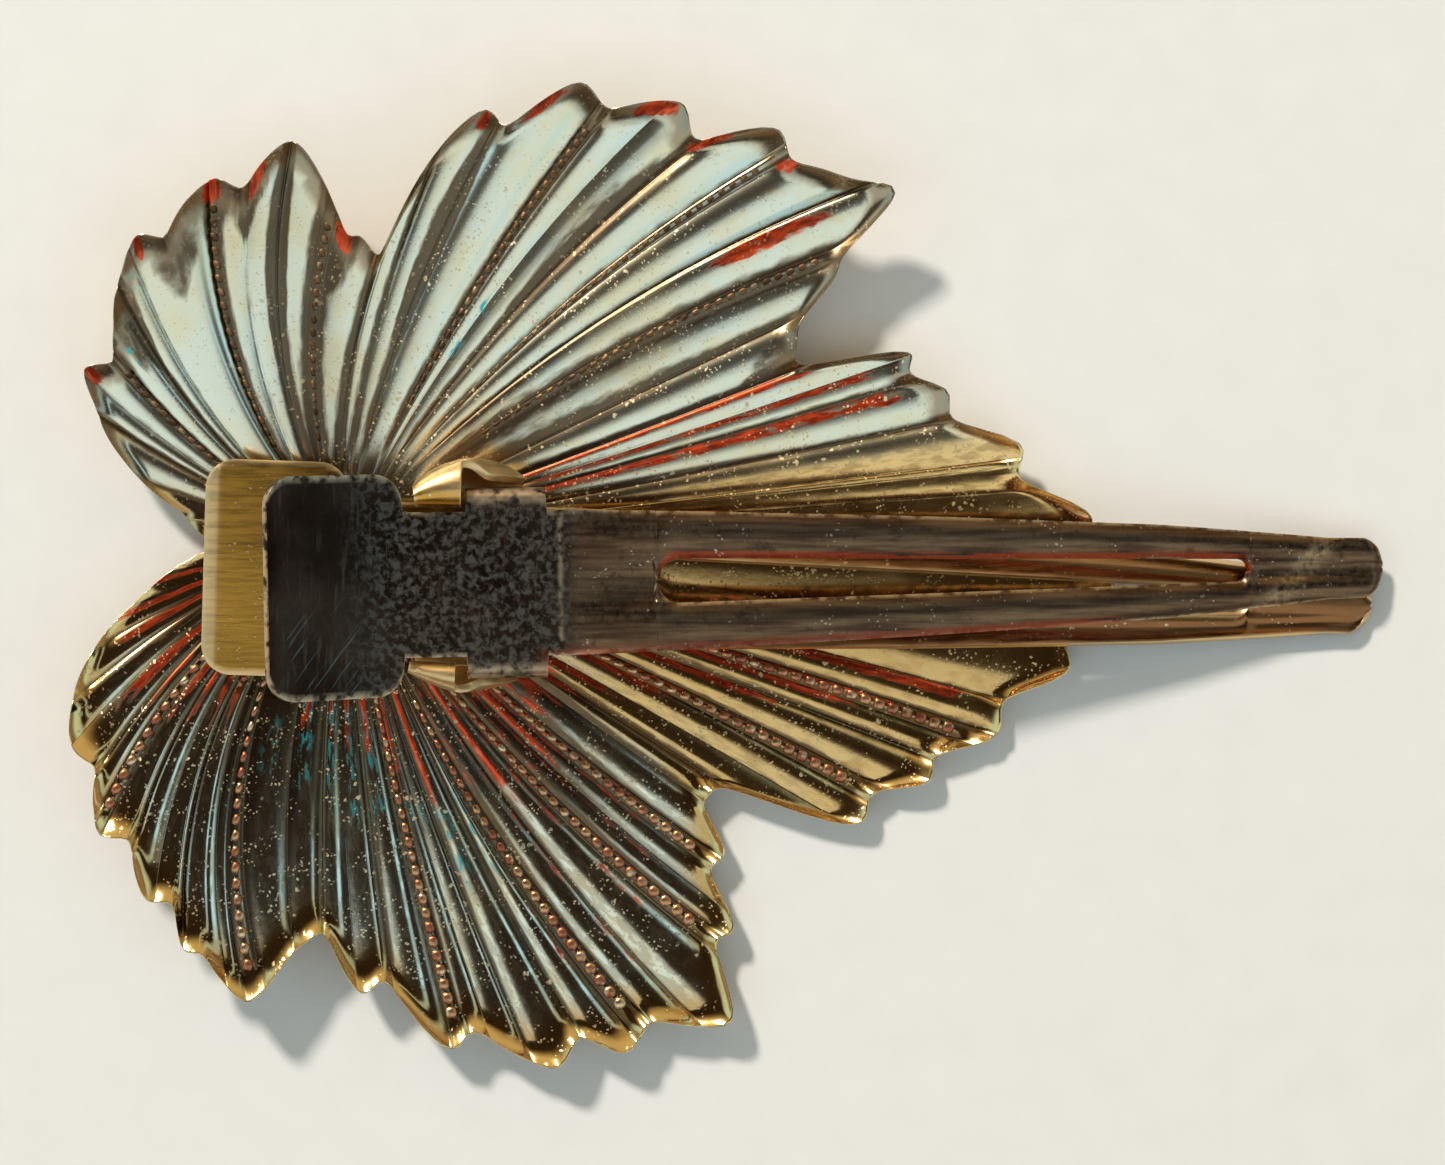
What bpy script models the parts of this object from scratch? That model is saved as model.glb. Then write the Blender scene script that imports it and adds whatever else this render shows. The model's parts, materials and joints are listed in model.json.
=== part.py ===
"""Leaf hair clip: a stamped leaf soldered to a sprung, single-prong clip.

The clip is two bent sheet levers. The lower lever carries two claws whose
hooks pass through the notched neck of the upper lever, and that is the hinge.
A flat spring between the levers holds the jaws shut. The leaf lies under the
lower lever, front face down, and a solder pad joins them.

Lengths are in metres. X runs along the clip to the prong tip and Z is up, as
the clip rests on a table with the leaf underneath.
"""
import math

import bmesh
import bpy
from mathutils import Matrix, Vector
from mathutils.bvhtree import BVHTree

MM = 0.001

# Sheet and clearances
SHEET = 0.50 * MM
LEAF_SHEET = 0.35 * MM
SPRING_SHEET = 0.35 * MM
RUNNING_GAP = 0.30 * MM
RESTING_GAP = 0.06 * MM

# Levers, measured along the sheet from the hinge axis
HINGE_RISE = 7.0 * MM
JAW_REACH = 63.9 * MM
NOSE_OVERHANG = 1.0 * MM
TAB_HALF = 7.35 * MM
TAB_LENGTH = 9.6 * MM
TAB_CORNER = 2.0 * MM
TAB_BEND_LENGTH = 1.5 * MM
NECK_HALF = 4.8 * MM
NECK_BACK = 2.3 * MM
NECK_FRONT = 1.9 * MM
LOWER_NECK_BACK = 6.6 * MM
CREASE_AT = 8.1 * MM
CREASE = math.radians(1.5)
UPPER_TAB_BEND = math.radians(22.0)
UPPER_LIP_BEND = math.radians(14.0)
LOWER_LIP_BEND = math.radians(-22.0)
NOSE_BEND = math.radians(-50.0)
PRONG_HALF = [(8.1 * MM, 4.85 * MM), (33.4 * MM, 3.9 * MM), (49.2 * MM, 3.08 * MM), (61.1 * MM, 2.0 * MM)]
SLOT_START = 14.5 * MM
SLOT_END = 55.4 * MM
SLOT_HALF_START = 1.6 * MM
SLOT_HALF_END = 0.9 * MM
RAIL_ARCH = 0.35 * MM
NOSE = 2.2 * MM

# Folded ears of the upper lever and claws of the lower lever
FOLD_RADIUS = 0.45 * MM
EAR_FOLD = 5.6 * MM
EAR_START = NECK_FRONT
EAR_END = 7.2 * MM
EAR_DEPTH = 3.3 * MM
CLAW_FOLD = 6.1 * MM
CLAW_START = -1.7 * MM
CLAW_END = 5.3 * MM
CLAW_BULGE = 1.05 * MM
CLAW_UNEVEN = 0.25 * MM
HOOK_END = 1.35 * MM
HOOK_RISE = 0.75 * MM

# The levers sit slightly askew in their loose hinge
SIDE_PLAY = 0.35 * MM
SKEW = math.radians(2.7)

# Spring strip
SPRING_HALF = 3.0 * MM
SPRING_BACK = 9.0 * MM
SPRING_LOOP_AT = 3.0 * MM

# Solder pad, along the lower lever from the hinge axis
SOLDER_BACK = -4.5 * MM
SOLDER_FRONT = 13.0 * MM
SOLDER_HALF = 4.2 * MM
SOLDER_GAP = 0.10 * MM

# How the clip lies on the table
HINGE_AT = Vector((-18.8 * MM, 0.2 * MM, 10.15 * MM))
LOWER_YAW = math.radians(-1.95)
LOWER_PITCH = math.radians(2.5)
ROLL = math.radians(3.0)

# Leaf: a shallow bowl whose ridges fan out from the point the veins meet at
VEIN_ORIGIN = Vector((-26.1 * MM, 2.9 * MM))
BOWL_LOW = Vector((-10.0 * MM, -14.0 * MM))
BOWL_FLOOR = 0.75 * MM
TAIL_RISE = 3.4 * MM
TAIL_LENGTH = 38.0 * MM
BOWL_RADIUS_Y = 240.0 * MM
FRONT_SLOPE = 0.018
SEAT_HALF = 4.5 * MM
STEM_FLAT_Y = 8.0 * MM
STEM_FLAT_HALF = 16.0 * MM
RIDGE = 0.40 * MM
VEIN_SWIRL = math.radians(20.0)

# Leaf rim round the vein origin: angle in degrees, radius in mm, and height,
# with 1 for a tooth tip, -1 for a notch and 0 for plain edge.
RIM = [
    (-176, 9.3, 0), (-164, 14.4, 0), (-155, 18.9, 0), (-147, 21.8, 0),
    (-142, 23.0, 1), (-137, 22.7, -1), (-129, 25.8, 1), (-125, 24.9, -1),
    (-118, 27.8, 1), (-114.5, 27.2, -1), (-110.6, 30.0, 1), (-108.6, 29.6, -1),
    (-101, 32.1, 1), (-96.7, 28.5, 0), (-92.6, 26.9, -1),
    (-87.5, 31.2, 1), (-84.5, 30.3, -1), (-78, 35.8, 1), (-75, 34.9, -1),
    (-67.7, 39.2, 1), (-64.4, 37.8, -1), (-61.2, 40.3, 1), (-57.3, 39.3, -1),
    (-50.7, 42.5, 1), (-47.3, 37.6, -1), (-44.5, 38.0, 1), (-42.4, 34.1, -1),
    (-39, 34.0, 1), (-36.6, 31.0, 0), (-32.8, 31.5, -1),
    (-29.3, 40.3, 1), (-25.4, 40.4, -1), (-22.3, 43.9, 1), (-20.1, 43.3, -1),
    (-16.7, 47.1, 1), (-13.6, 46.8, -1), (-10, 51.1, 1), (-7.6, 50.0, -1),
    (-3.5, 53.5, 1), (-0.6, 50.8, -1), (1.9, 51.8, 1), (5.2, 46.6, -1),
    (8, 47.3, 1), (11.2, 42.6, -1), (14, 42.9, 1), (16.5, 40.2, -1),
    (19, 40.8, 1), (20, 34.5, 0), (21.6, 33.7, -1), (25.8, 35.1, 0),
    (28.1, 38.8, 1), (29.5, 39.0, -1), (31.5, 44.6, 1), (35, 42.6, 0),
    (40, 40.1, -1), (42.8, 40.9, 1), (48.2, 36.3, -1), (51.3, 37.7, 1),
    (57.7, 34.4, -1), (61.8, 35.0, 1), (67.6, 30.2, -1), (70.7, 30.8, 1),
    (75.5, 27.2, 0), (79.4, 22.4, 0), (81.8, 19.6, -1),
    (86, 20.8, 1), (88.3, 20.7, -1), (94, 26.0, 0), (96.2, 27.1, 1),
    (105.2, 24.6, -1), (108.5, 25.8, 1), (119.9, 23.6, -1), (123, 24.7, 1),
    (128.3, 23.5, 0), (136.6, 21.1, 0), (142, 19.7, -1), (146, 21.0, 1),
    (151, 19.2, 0), (160, 15.8, 0), (170, 11.2, 0),
]
RINGS = [0.14, 0.28, 0.42, 0.55, 0.67, 0.78, 0.87, 0.94, 1.0]

# Base colour, metallic, roughness
LEAF_GOLD = ((0.80, 0.58, 0.26), 1.0, 0.20)
LEVER_GOLD = ((0.70, 0.53, 0.22), 1.0, 0.30)
LEVER_BRONZE = ((0.20, 0.145, 0.10), 1.0, 0.42)
SPRING_STEEL = ((0.42, 0.41, 0.40), 1.0, 0.30)
SOLDER_GREY = ((0.46, 0.43, 0.38), 1.0, 0.48)


def clear_scene():
    for item in list(bpy.data.objects):
        bpy.data.objects.remove(item, do_unlink=True)


def material(name, look):
    colour, metallic, roughness = look
    made = bpy.data.materials.new(name)
    made.use_nodes = True
    shader = made.node_tree.nodes["Principled BSDF"]
    shader.inputs["Base Color"].default_value = (*colour, 1.0)
    shader.inputs["Metallic"].default_value = metallic
    shader.inputs["Roughness"].default_value = roughness
    made.diffuse_color = (*colour, 1.0)
    return made


def add_object(name, mesh_data, look, matrix):
    mesh = bpy.data.meshes.new(name)
    mesh_data.to_mesh(mesh)
    mesh_data.free()
    mesh.materials.append(material(name, look))
    item = bpy.data.objects.new(name, mesh)
    item.matrix_world = matrix
    bpy.context.scene.collection.objects.link(item)
    return item


def interpolate(table, at):
    for (x0, y0), (x1, y1) in zip(table, table[1:]):
        if at <= x1:
            return y0 + (y1 - y0) * max(at - x0, 0.0) / (x1 - x0)
    return table[-1][1]


def ease(low, high, at):
    share = min(max((at - low) / (high - low), 0.0), 1.0)
    return share * share * (3.0 - 2.0 * share)


def follow(distance, bends):
    """Point and upward normal on a bent strip, a signed distance from the axis."""
    steps = max(1, math.ceil(abs(distance) / (0.1 * MM)))
    step = distance / steps
    away = math.copysign(1.0, distance)
    x = 0.0
    z = 0.0
    slope = 0.0
    for index in range(steps):
        middle = (index + 0.5) * step
        slope = 0.0
        for start, end, turn in bends:
            if start * away >= 0.0 and end * away > 0.0:
                slope += turn * min(max((middle - start) / (end - start), 0.0), 1.0)
        x += step * math.cos(slope)
        z += abs(step) * math.sin(slope)
    return Vector((x, 0.0, z)), Vector((-away * math.sin(slope), 0.0, math.cos(slope)))


def round_end(half, corner, inset):
    """Half width of a plate with rounded corners, a distance in from its end."""
    if inset >= corner:
        return half
    return half - corner + math.sqrt(max(corner ** 2 - (corner - inset) ** 2, 0.0))


def half_width(at, neck_back, fold, fold_start, fold_end, reach):
    tab_end = -neck_back - TAB_LENGTH
    if at < -neck_back:
        from_end = min(at - tab_end, -neck_back - at)
        return round_end(TAB_HALF, TAB_CORNER, from_end)
    if fold_start <= at <= fold_end:
        return fold
    if at < CREASE_AT:
        return NECK_HALF
    prong = interpolate(PRONG_HALF, at)
    if at > reach - NOSE:
        prong = min(prong, NOSE * math.sqrt(max(1.0 - ((at - reach + NOSE) / NOSE) ** 2, 0.01)))
    return prong


def slot_half(at):
    """Half width of the slot, or None where the prong is whole."""
    if not SLOT_START <= at <= SLOT_END:
        return None
    share = (at - SLOT_START) / (SLOT_END - SLOT_START)
    half = SLOT_HALF_START + (SLOT_HALF_END - SLOT_HALF_START) * share
    end = min(at - SLOT_START, SLOT_END - at)
    return max(round_end(half, half, end), 0.3 * half)


def arch_height(at, reach):
    return RAIL_ARCH * ease(CREASE_AT, SLOT_START, at) * (1.0 - 0.7 * ease(SLOT_END, reach, at))


def prong_row(at, half, reach, bends, upward):
    """Eleven points across a lever, arched over each rail beside the slot."""
    inner = slot_half(at) or 0.25 * half
    centre, normal = follow(at, bends)
    middle = 0.5 * (half + inner)
    span = 0.5 * (half - inner)
    row = []
    for share in (1.0, 0.5, 0.0, -0.5, -1.0):
        row.append((-(middle + span * share), 1.0 - share ** 2))
    row.append((0.0, 0.0))
    for share in (-1.0, -0.5, 0.0, 0.5, 1.0):
        row.append((middle + span * share, 1.0 - share ** 2))
    arch = upward * arch_height(at, reach)
    return [centre + normal * arch * lift + Vector((0.0, y, 0.0)) for y, lift in row]


def skin(rows, is_hole):
    """Quad sheet through rows of points. A point may be missing (None)."""
    data = bmesh.new()
    grid = [[data.verts.new(point) if point else None for point in row] for row in rows]
    for i in range(len(rows) - 1):
        for j in range(len(rows[0]) - 1):
            corners = [grid[i][j], grid[i + 1][j], grid[i + 1][j + 1], grid[i][j + 1]]
            if None not in corners and not is_hole(i, j):
                data.faces.new(corners)
    loose = [vertex for vertex in data.verts if not vertex.link_faces]
    bmesh.ops.delete(data, geom=loose, context="VERTS")
    bmesh.ops.recalc_face_normals(data, faces=data.faces)
    return data


def thicken(item, thickness):
    solid = item.modifiers.new("sheet", "SOLIDIFY")
    solid.thickness = thickness
    solid.offset = 0.0
    solid.use_even_offset = True


def stations(fold_start, fold_end, neck_back, reach):
    """Distances along a lever where its outline, bends or slot change."""
    tab_end = -neck_back - TAB_LENGTH
    places = [tab_end + TAB_CORNER * share for share in (0.0, 0.06, 0.25, 0.55, 1.0)]
    places += [0.5 * (tab_end - neck_back)]
    places += [-neck_back - TAB_CORNER * share for share in (1.0, 0.5, 0.2, 0.01)]
    places += [-neck_back + 0.1 * MM, fold_start - 0.1 * MM]
    places += [fold_start + (fold_end - fold_start) * share / 6 for share in range(7)]
    places += [fold_end + 0.1 * MM, CREASE_AT, 10.5 * MM, 12.5 * MM]
    places += [SLOT_START - 0.4 * MM, SLOT_START, SLOT_START + 0.3 * MM, SLOT_START + 1.6 * MM]
    places += [SLOT_START + 1.6 * MM + 5.4 * MM * index for index in range(1, 7)]
    places += [SLOT_END - 4.0 * MM, SLOT_END - 0.9 * MM, SLOT_END - 0.2 * MM, SLOT_END, SLOT_END + 0.5 * MM]
    places += [58.5 * MM, 61.1 * MM]
    places += [reach - NOSE * share for share in (0.8, 0.5, 0.25, 0.1, 0.0)]
    return sorted(places)


def lever_hole(places, side_columns):
    def is_hole(i, j):
        if j - side_columns not in (4, 5):
            return False
        return slot_half(places[i]) is not None and slot_half(places[i + 1]) is not None
    return is_hole


def ear_points(at, side, base):
    """One folded-down ear of the upper lever, from its fold to its lower edge."""
    middle = 0.5 * (EAR_START + EAR_END)
    share = abs(at - middle) / (EAR_END - middle)
    depth = EAR_DEPTH * (0.4 + 0.6 * math.sqrt(max(1.0 - share ** 2, 0.0)))
    points = []
    for turn in (math.radians(30.0), math.radians(60.0), math.radians(90.0)):
        out = EAR_FOLD + FOLD_RADIUS * math.sin(turn)
        points.append(Vector((base.x, side * out, base.z - FOLD_RADIUS * (1.0 - math.cos(turn)))))
    for drop in (0.5 * (FOLD_RADIUS + depth), depth):
        points.append(Vector((base.x, side * (EAR_FOLD + FOLD_RADIUS), base.z - drop)))
    return points


def claw_points(at, side):
    """One claw of the lower lever, with its hook where the neck notch is."""
    middle = 0.5 * (CLAW_START + CLAW_END)
    share = (at - middle) / (CLAW_END - middle)
    bulge = (CLAW_BULGE + side * CLAW_UNEVEN) * (1.0 - share ** 4)
    has_hook = at <= HOOK_END
    crown = HINGE_RISE - 0.5 * MM
    top = crown if has_hook else crown * (0.35 + 0.65 * math.sqrt(max(1.0 - share ** 2, 0.0)))
    wall = CLAW_FOLD + FOLD_RADIUS
    points = []
    for turn in (math.radians(45.0), math.radians(90.0)):
        out = CLAW_FOLD + FOLD_RADIUS * math.sin(turn)
        points.append(Vector((at, side * out, FOLD_RADIUS * (1.0 - math.cos(turn)))))
    for height in (0.3 * top, 0.6 * top, top):
        swell = math.sin(0.5 * math.pi * min(height / (0.42 * HINGE_RISE), 1.0))
        points.append(Vector((at, side * (wall + bulge * swell), height)))
    if not has_hook:
        return points + [None] * 5
    inner = NECK_HALF + RUNNING_GAP + 0.5 * SHEET - side * SIDE_PLAY
    out = wall + bulge
    over = HINGE_RISE + HOOK_RISE
    points.append(Vector((at, side * (out - 0.25 * MM), over - 0.4 * MM)))
    points.append(Vector((at, side * (out - 0.75 * MM), over)))
    points.append(Vector((at, side * (inner + 0.5 * MM), over)))
    points.append(Vector((at, side * (inner + 0.1 * MM), over - 0.3 * MM)))
    points.append(Vector((at, side * inner, over - 1.0 * MM)))
    return points


def upper_lever(matrix):
    reach = JAW_REACH + NOSE_OVERHANG
    tab_end = -NECK_BACK - TAB_LENGTH
    bends = [
        (-NECK_BACK, -NECK_BACK - TAB_BEND_LENGTH, UPPER_TAB_BEND),
        (tab_end + 1.6 * MM, tab_end, UPPER_LIP_BEND),
        (CREASE_AT - 0.4 * MM, CREASE_AT + 0.4 * MM, -CREASE),
        (reach - 1.0 * MM, reach, NOSE_BEND),
    ]
    places = stations(EAR_START, EAR_END, NECK_BACK, reach)
    rows = []
    for at in places:
        half = half_width(at, NECK_BACK, EAR_FOLD, EAR_START, EAR_END, reach)
        row = prong_row(at, half, reach, bends, 1.0)
        left = [None] * 5
        right = [None] * 5
        if EAR_START <= at <= EAR_END:
            left = ear_points(at, -1.0, row[0])[::-1]
            right = ear_points(at, 1.0, row[-1])
        rows.append(left + row + right)
    item = add_object("upper_lever", skin(rows, lever_hole(places, 5)), LEVER_BRONZE, matrix)
    thicken(item, SHEET)
    return item


def lower_lever(matrix):
    tab_end = -LOWER_NECK_BACK - TAB_LENGTH
    bends = [(tab_end + 1.2 * MM, tab_end, LOWER_LIP_BEND)]
    places = stations(CLAW_START, CLAW_END, LOWER_NECK_BACK, JAW_REACH)
    places = sorted(places + [HOOK_END])
    rows = []
    for at in places:
        half = half_width(at, LOWER_NECK_BACK, CLAW_FOLD, CLAW_START, CLAW_END, JAW_REACH)
        row = prong_row(at, half, JAW_REACH, bends, -1.0)
        left = [None] * 10
        right = [None] * 10
        if CLAW_START <= at <= CLAW_END:
            left = claw_points(at, -1.0)[::-1]
            right = claw_points(at, 1.0)
        rows.append(left + row + right)
    down = Vector((0.0, 0.0, -HINGE_RISE))
    rows = [[point + down if point else None for point in row] for row in rows]
    item = add_object("lower_lever", skin(rows, lever_hole(places, 10)), LEVER_GOLD, matrix)
    thicken(item, SHEET)
    return item


def spring(matrix, closing):
    """A strip looped forward under the hinge, with a leg on each lever."""
    floor = -HINGE_RISE + 0.5 * SHEET + RESTING_GAP + 0.5 * SPRING_SHEET
    roof = -0.5 * SHEET - 0.5 * SPRING_SHEET - 2.0 * RUNNING_GAP
    bends = [(-NECK_BACK, -NECK_BACK - TAB_BEND_LENGTH, UPPER_TAB_BEND)]
    turned = Matrix.Rotation(closing, 3, "Y")
    tab, normal = follow(-SPRING_BACK, bends)
    upper_end = turned @ (tab + normal * (-0.5 * SHEET - 0.5 * SPRING_SHEET - RUNNING_GAP))
    knee = turned @ Vector((-NECK_BACK, 0.0, roof))
    loop_top = turned @ Vector((SPRING_LOOP_AT, 0.0, roof))
    radius = 0.5 * (loop_top.z - floor)
    path = [Vector((-SPRING_BACK, 0.0, floor)), Vector((-0.5 * SPRING_BACK, 0.0, floor))]
    for index in range(11):
        turn = math.pi * index / 10
        offset = Vector((math.sin(turn), 0.0, 1.0 - math.cos(turn))) * radius
        path.append(Vector((loop_top.x, 0.0, floor)) + offset)
    path += [0.5 * (loop_top + knee), knee, 0.5 * (knee + upper_end), upper_end]
    widths = [-SPRING_HALF, 0.0, SPRING_HALF]
    rows = [[point + Vector((0.0, y, 0.0)) for y in widths] for point in path]
    item = add_object("spring", skin(rows, lambda i, j: False), SPRING_STEEL, matrix)
    thicken(item, SPRING_SHEET)
    return item


def seat_line(x):
    """Y of the lower lever's centre line, which the leaf's plain seat follows."""
    return 0.55 * MM + (x - HINGE_AT.x) * math.tan(LOWER_YAW)


def leaf_height(x, y, crest, reach):
    """Height of the leaf's back face. Reach runs from 0 at the veins to 1 at the rim."""
    across = (y - BOWL_LOW.y) ** 2 / (2.0 * BOWL_RADIUS_Y)
    behind = TAIL_RISE * ease(0.0, TAIL_LENGTH, BOWL_LOW.x - x)
    stem = math.exp(-((y - STEM_FLAT_Y) / STEM_FLAT_HALF) ** 2)
    slope = FRONT_SLOPE * max(x - BOWL_LOW.x, 0.0)
    ridge = RIDGE * crest * ease(0.1, 0.7, reach)
    flat = math.exp(-((y - seat_line(x)) / SEAT_HALF) ** 2)
    rise = math.hypot(across, behind * (1.0 - 0.7 * stem))
    return BOWL_FLOOR + rise - slope + ridge * (1.0 - 0.85 * flat)


def leaf_point(angle, radius, crest, reach):
    swirl = VEIN_SWIRL * math.sin(angle) ** 2 * (1.0 - math.cos(angle))
    turned = angle + math.copysign(swirl, angle) * (1.0 - reach)
    x = VEIN_ORIGIN.x + radius * reach * math.cos(turned)
    y = VEIN_ORIGIN.y + radius * reach * math.sin(turned)
    return Vector((x, y, leaf_height(x, y, crest, reach)))


def rim_samples():
    """The rim list with one point added half way along each edge."""
    samples = []
    for index, (angle, radius, crest) in enumerate(RIM):
        following = RIM[(index + 1) % len(RIM)]
        gap = (following[0] - angle) % 360.0
        samples.append((math.radians(angle), radius * MM, crest))
        middle = math.radians(angle + 0.5 * gap)
        middle = (middle + math.pi) % (2.0 * math.pi) - math.pi
        samples.append((middle, 0.5 * (radius + following[1]) * MM, 0.5 * (crest + following[2])))
    return samples


def leaf(matrix):
    samples = rim_samples()
    data = bmesh.new()
    faces = []
    for drop in (0.0, LEAF_SHEET):
        down = Vector((0.0, 0.0, drop))
        pole = data.verts.new(leaf_point(0.1, 0.0, 0.0, 0.0) - down)
        rings = []
        for reach in RINGS:
            rings.append([data.verts.new(leaf_point(*sample, reach) - down) for sample in samples])
        faces.append((pole, rings))
    count = len(samples)
    for pole, rings in faces:
        for j in range(count):
            after = (j + 1) % count
            data.faces.new([pole, rings[0][j], rings[0][after]])
            for inner, outer in zip(rings, rings[1:]):
                data.faces.new([inner[j], outer[j], outer[after], inner[after]])
    top_rim = faces[0][1][-1]
    low_rim = faces[1][1][-1]
    for j in range(count):
        after = (j + 1) % count
        data.faces.new([top_rim[j], low_rim[j], low_rim[after], top_rim[after]])
    bmesh.ops.recalc_face_normals(data, faces=data.faces)
    return add_object("leaf", data, LEAF_GOLD, matrix)


def surface_tree(item):
    """The finished surface of a piece, in world space, for finding the height of its face."""
    shape = item.evaluated_get(bpy.context.evaluated_depsgraph_get())
    points = [item.matrix_world @ vertex.co for vertex in shape.data.vertices]
    return BVHTree.FromPolygons(points, [tuple(face.vertices) for face in shape.data.polygons])


def solder(lever_matrix, lever_item, leaf_item):
    """A pad whose top follows the lower lever and whose foot follows the leaf."""
    data = bmesh.new()
    lever_tree = surface_tree(lever_item)
    leaf_tree = surface_tree(leaf_item)
    up = Vector((0.0, 0.0, 1.0))
    long_steps = 16
    wide_steps = 10
    foot = []
    top = []
    for i in range(long_steps + 1):
        along = 2.0 * i / long_steps - 1.0
        foot_row = []
        top_row = []
        for j in range(wide_steps + 1):
            across = 2.0 * j / wide_steps - 1.0
            round_off = math.sqrt(1.0 - 0.45 * along ** 2 * across ** 2)
            x = 0.5 * (SOLDER_BACK + SOLDER_FRONT) + 0.5 * (SOLDER_FRONT - SOLDER_BACK) * along * round_off
            y = SOLDER_HALF * across * round_off
            above = lever_matrix @ Vector((x * 0.96, y * 0.88, -HINGE_RISE - 2.0 * MM))
            below = lever_matrix @ Vector((x, y, -HINGE_RISE))
            ceiling = lever_tree.ray_cast(above, up)[0]
            floor = leaf_tree.ray_cast(below + up * 2.0 * MM, -up)[0]
            top_row.append(data.verts.new(ceiling - up * SOLDER_GAP))
            foot_row.append(data.verts.new(floor + up * SOLDER_GAP))
        top.append(top_row)
        foot.append(foot_row)
    for grid in (foot, top):
        for i in range(long_steps):
            for j in range(wide_steps):
                data.faces.new([grid[i][j], grid[i + 1][j], grid[i + 1][j + 1], grid[i][j + 1]])
    edge = [(i, 0) for i in range(long_steps)]
    edge += [(long_steps, j) for j in range(wide_steps)]
    edge += [(i, wide_steps) for i in range(long_steps, 0, -1)]
    edge += [(0, j) for j in range(wide_steps, 0, -1)]
    for (i, j), (k, m) in zip(edge, edge[1:] + edge[:1]):
        data.faces.new([foot[i][j], foot[k][m], top[k][m], top[i][j]])
    bmesh.ops.recalc_face_normals(data, faces=data.faces)
    return add_object("solder", data, SOLDER_GREY, Matrix.Identity(4))


def lever_matrices():
    lower = Matrix.Translation(HINGE_AT)
    lower = lower @ Matrix.Rotation(LOWER_YAW, 4, "Z")
    lower = lower @ Matrix.Rotation(LOWER_PITCH, 4, "Y")
    lower = lower @ Matrix.Rotation(ROLL, 4, "X")
    tip_gap = SHEET + 2.0 * RESTING_GAP
    closing = math.asin((HINGE_RISE - tip_gap) / JAW_REACH)
    closing -= CREASE * (JAW_REACH - CREASE_AT) / JAW_REACH
    upper = lower @ Matrix.Translation((0.0, -SIDE_PLAY, 0.0))
    upper = upper @ Matrix.Rotation(SKEW, 4, "Z") @ Matrix.Rotation(closing, 4, "Y")
    return lower, upper, closing


def centre_on_table(items):
    """Move everything so the footprint is centred and the lowest point is at zero."""
    bpy.context.view_layer.update()
    graph = bpy.context.evaluated_depsgraph_get()
    points = []
    for item in items:
        shape = item.evaluated_get(graph)
        points += [shape.matrix_world @ vertex.co for vertex in shape.data.vertices]
    low = Vector([min(point[axis] for point in points) for axis in range(3)])
    high = Vector([max(point[axis] for point in points) for axis in range(3)])
    move = Vector((-0.5 * (low.x + high.x), -0.5 * (low.y + high.y), -low.z))
    for item in items:
        item.matrix_world = Matrix.Translation(move) @ item.matrix_world


def main():
    clear_scene()
    lower, upper, closing = lever_matrices()
    blade = leaf(Matrix.Identity(4))
    base = lower_lever(lower)
    bpy.context.view_layer.update()
    pad = solder(lower, base, blade)
    items = [blade, base, pad, upper_lever(upper), spring(lower, closing)]
    centre_on_table(items)


main()
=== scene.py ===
"""Looks for the leaf hair clip: a ribbed gold-tone leaf under a worn, sprung prong clip.

Lengths are in metres, and the leaf's own in millimetres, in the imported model's
frame: X along the clip to the prong tip, Z up from the table, the leaf
underneath with its front face down. Colours are linear red, green and blue.
"""
import json
import math

import bmesh
import bpy
import numpy as np
from mathutils import Matrix, Vector


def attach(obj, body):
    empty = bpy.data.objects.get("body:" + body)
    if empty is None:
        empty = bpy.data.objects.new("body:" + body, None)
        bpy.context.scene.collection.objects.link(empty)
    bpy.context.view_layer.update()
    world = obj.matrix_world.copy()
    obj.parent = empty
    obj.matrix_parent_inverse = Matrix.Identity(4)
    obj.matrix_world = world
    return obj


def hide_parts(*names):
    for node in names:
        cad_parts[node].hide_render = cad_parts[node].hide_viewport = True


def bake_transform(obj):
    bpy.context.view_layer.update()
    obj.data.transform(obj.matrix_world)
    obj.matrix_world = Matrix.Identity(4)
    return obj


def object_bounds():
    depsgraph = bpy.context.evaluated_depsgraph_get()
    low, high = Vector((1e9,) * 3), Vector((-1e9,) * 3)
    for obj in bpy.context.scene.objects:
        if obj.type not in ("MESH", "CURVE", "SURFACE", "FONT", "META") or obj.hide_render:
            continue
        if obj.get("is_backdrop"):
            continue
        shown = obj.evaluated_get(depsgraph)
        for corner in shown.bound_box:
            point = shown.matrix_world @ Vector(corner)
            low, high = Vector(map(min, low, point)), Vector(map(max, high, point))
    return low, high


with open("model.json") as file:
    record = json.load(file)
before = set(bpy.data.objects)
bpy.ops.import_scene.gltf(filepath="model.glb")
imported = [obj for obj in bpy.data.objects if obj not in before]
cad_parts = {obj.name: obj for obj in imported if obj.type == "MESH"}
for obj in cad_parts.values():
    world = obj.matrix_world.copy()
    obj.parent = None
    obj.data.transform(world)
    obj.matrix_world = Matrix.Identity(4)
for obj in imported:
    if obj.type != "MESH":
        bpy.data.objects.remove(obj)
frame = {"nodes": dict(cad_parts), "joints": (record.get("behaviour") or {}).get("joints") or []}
cad_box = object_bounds()

MM = 0.001

# ---- dimensions ----

# Sheets, clearances and rounding.
SHEET = 0.5 * MM
LEAF_SHEET = 0.35 * MM
SPRING_SHEET = 0.35 * MM
RUNNING_GAP = 0.3 * MM
RESTING_GAP = 0.06 * MM
SHEET_ROUNDING = 0.1 * MM
SPRING_ROUNDING = 0.06 * MM

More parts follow.
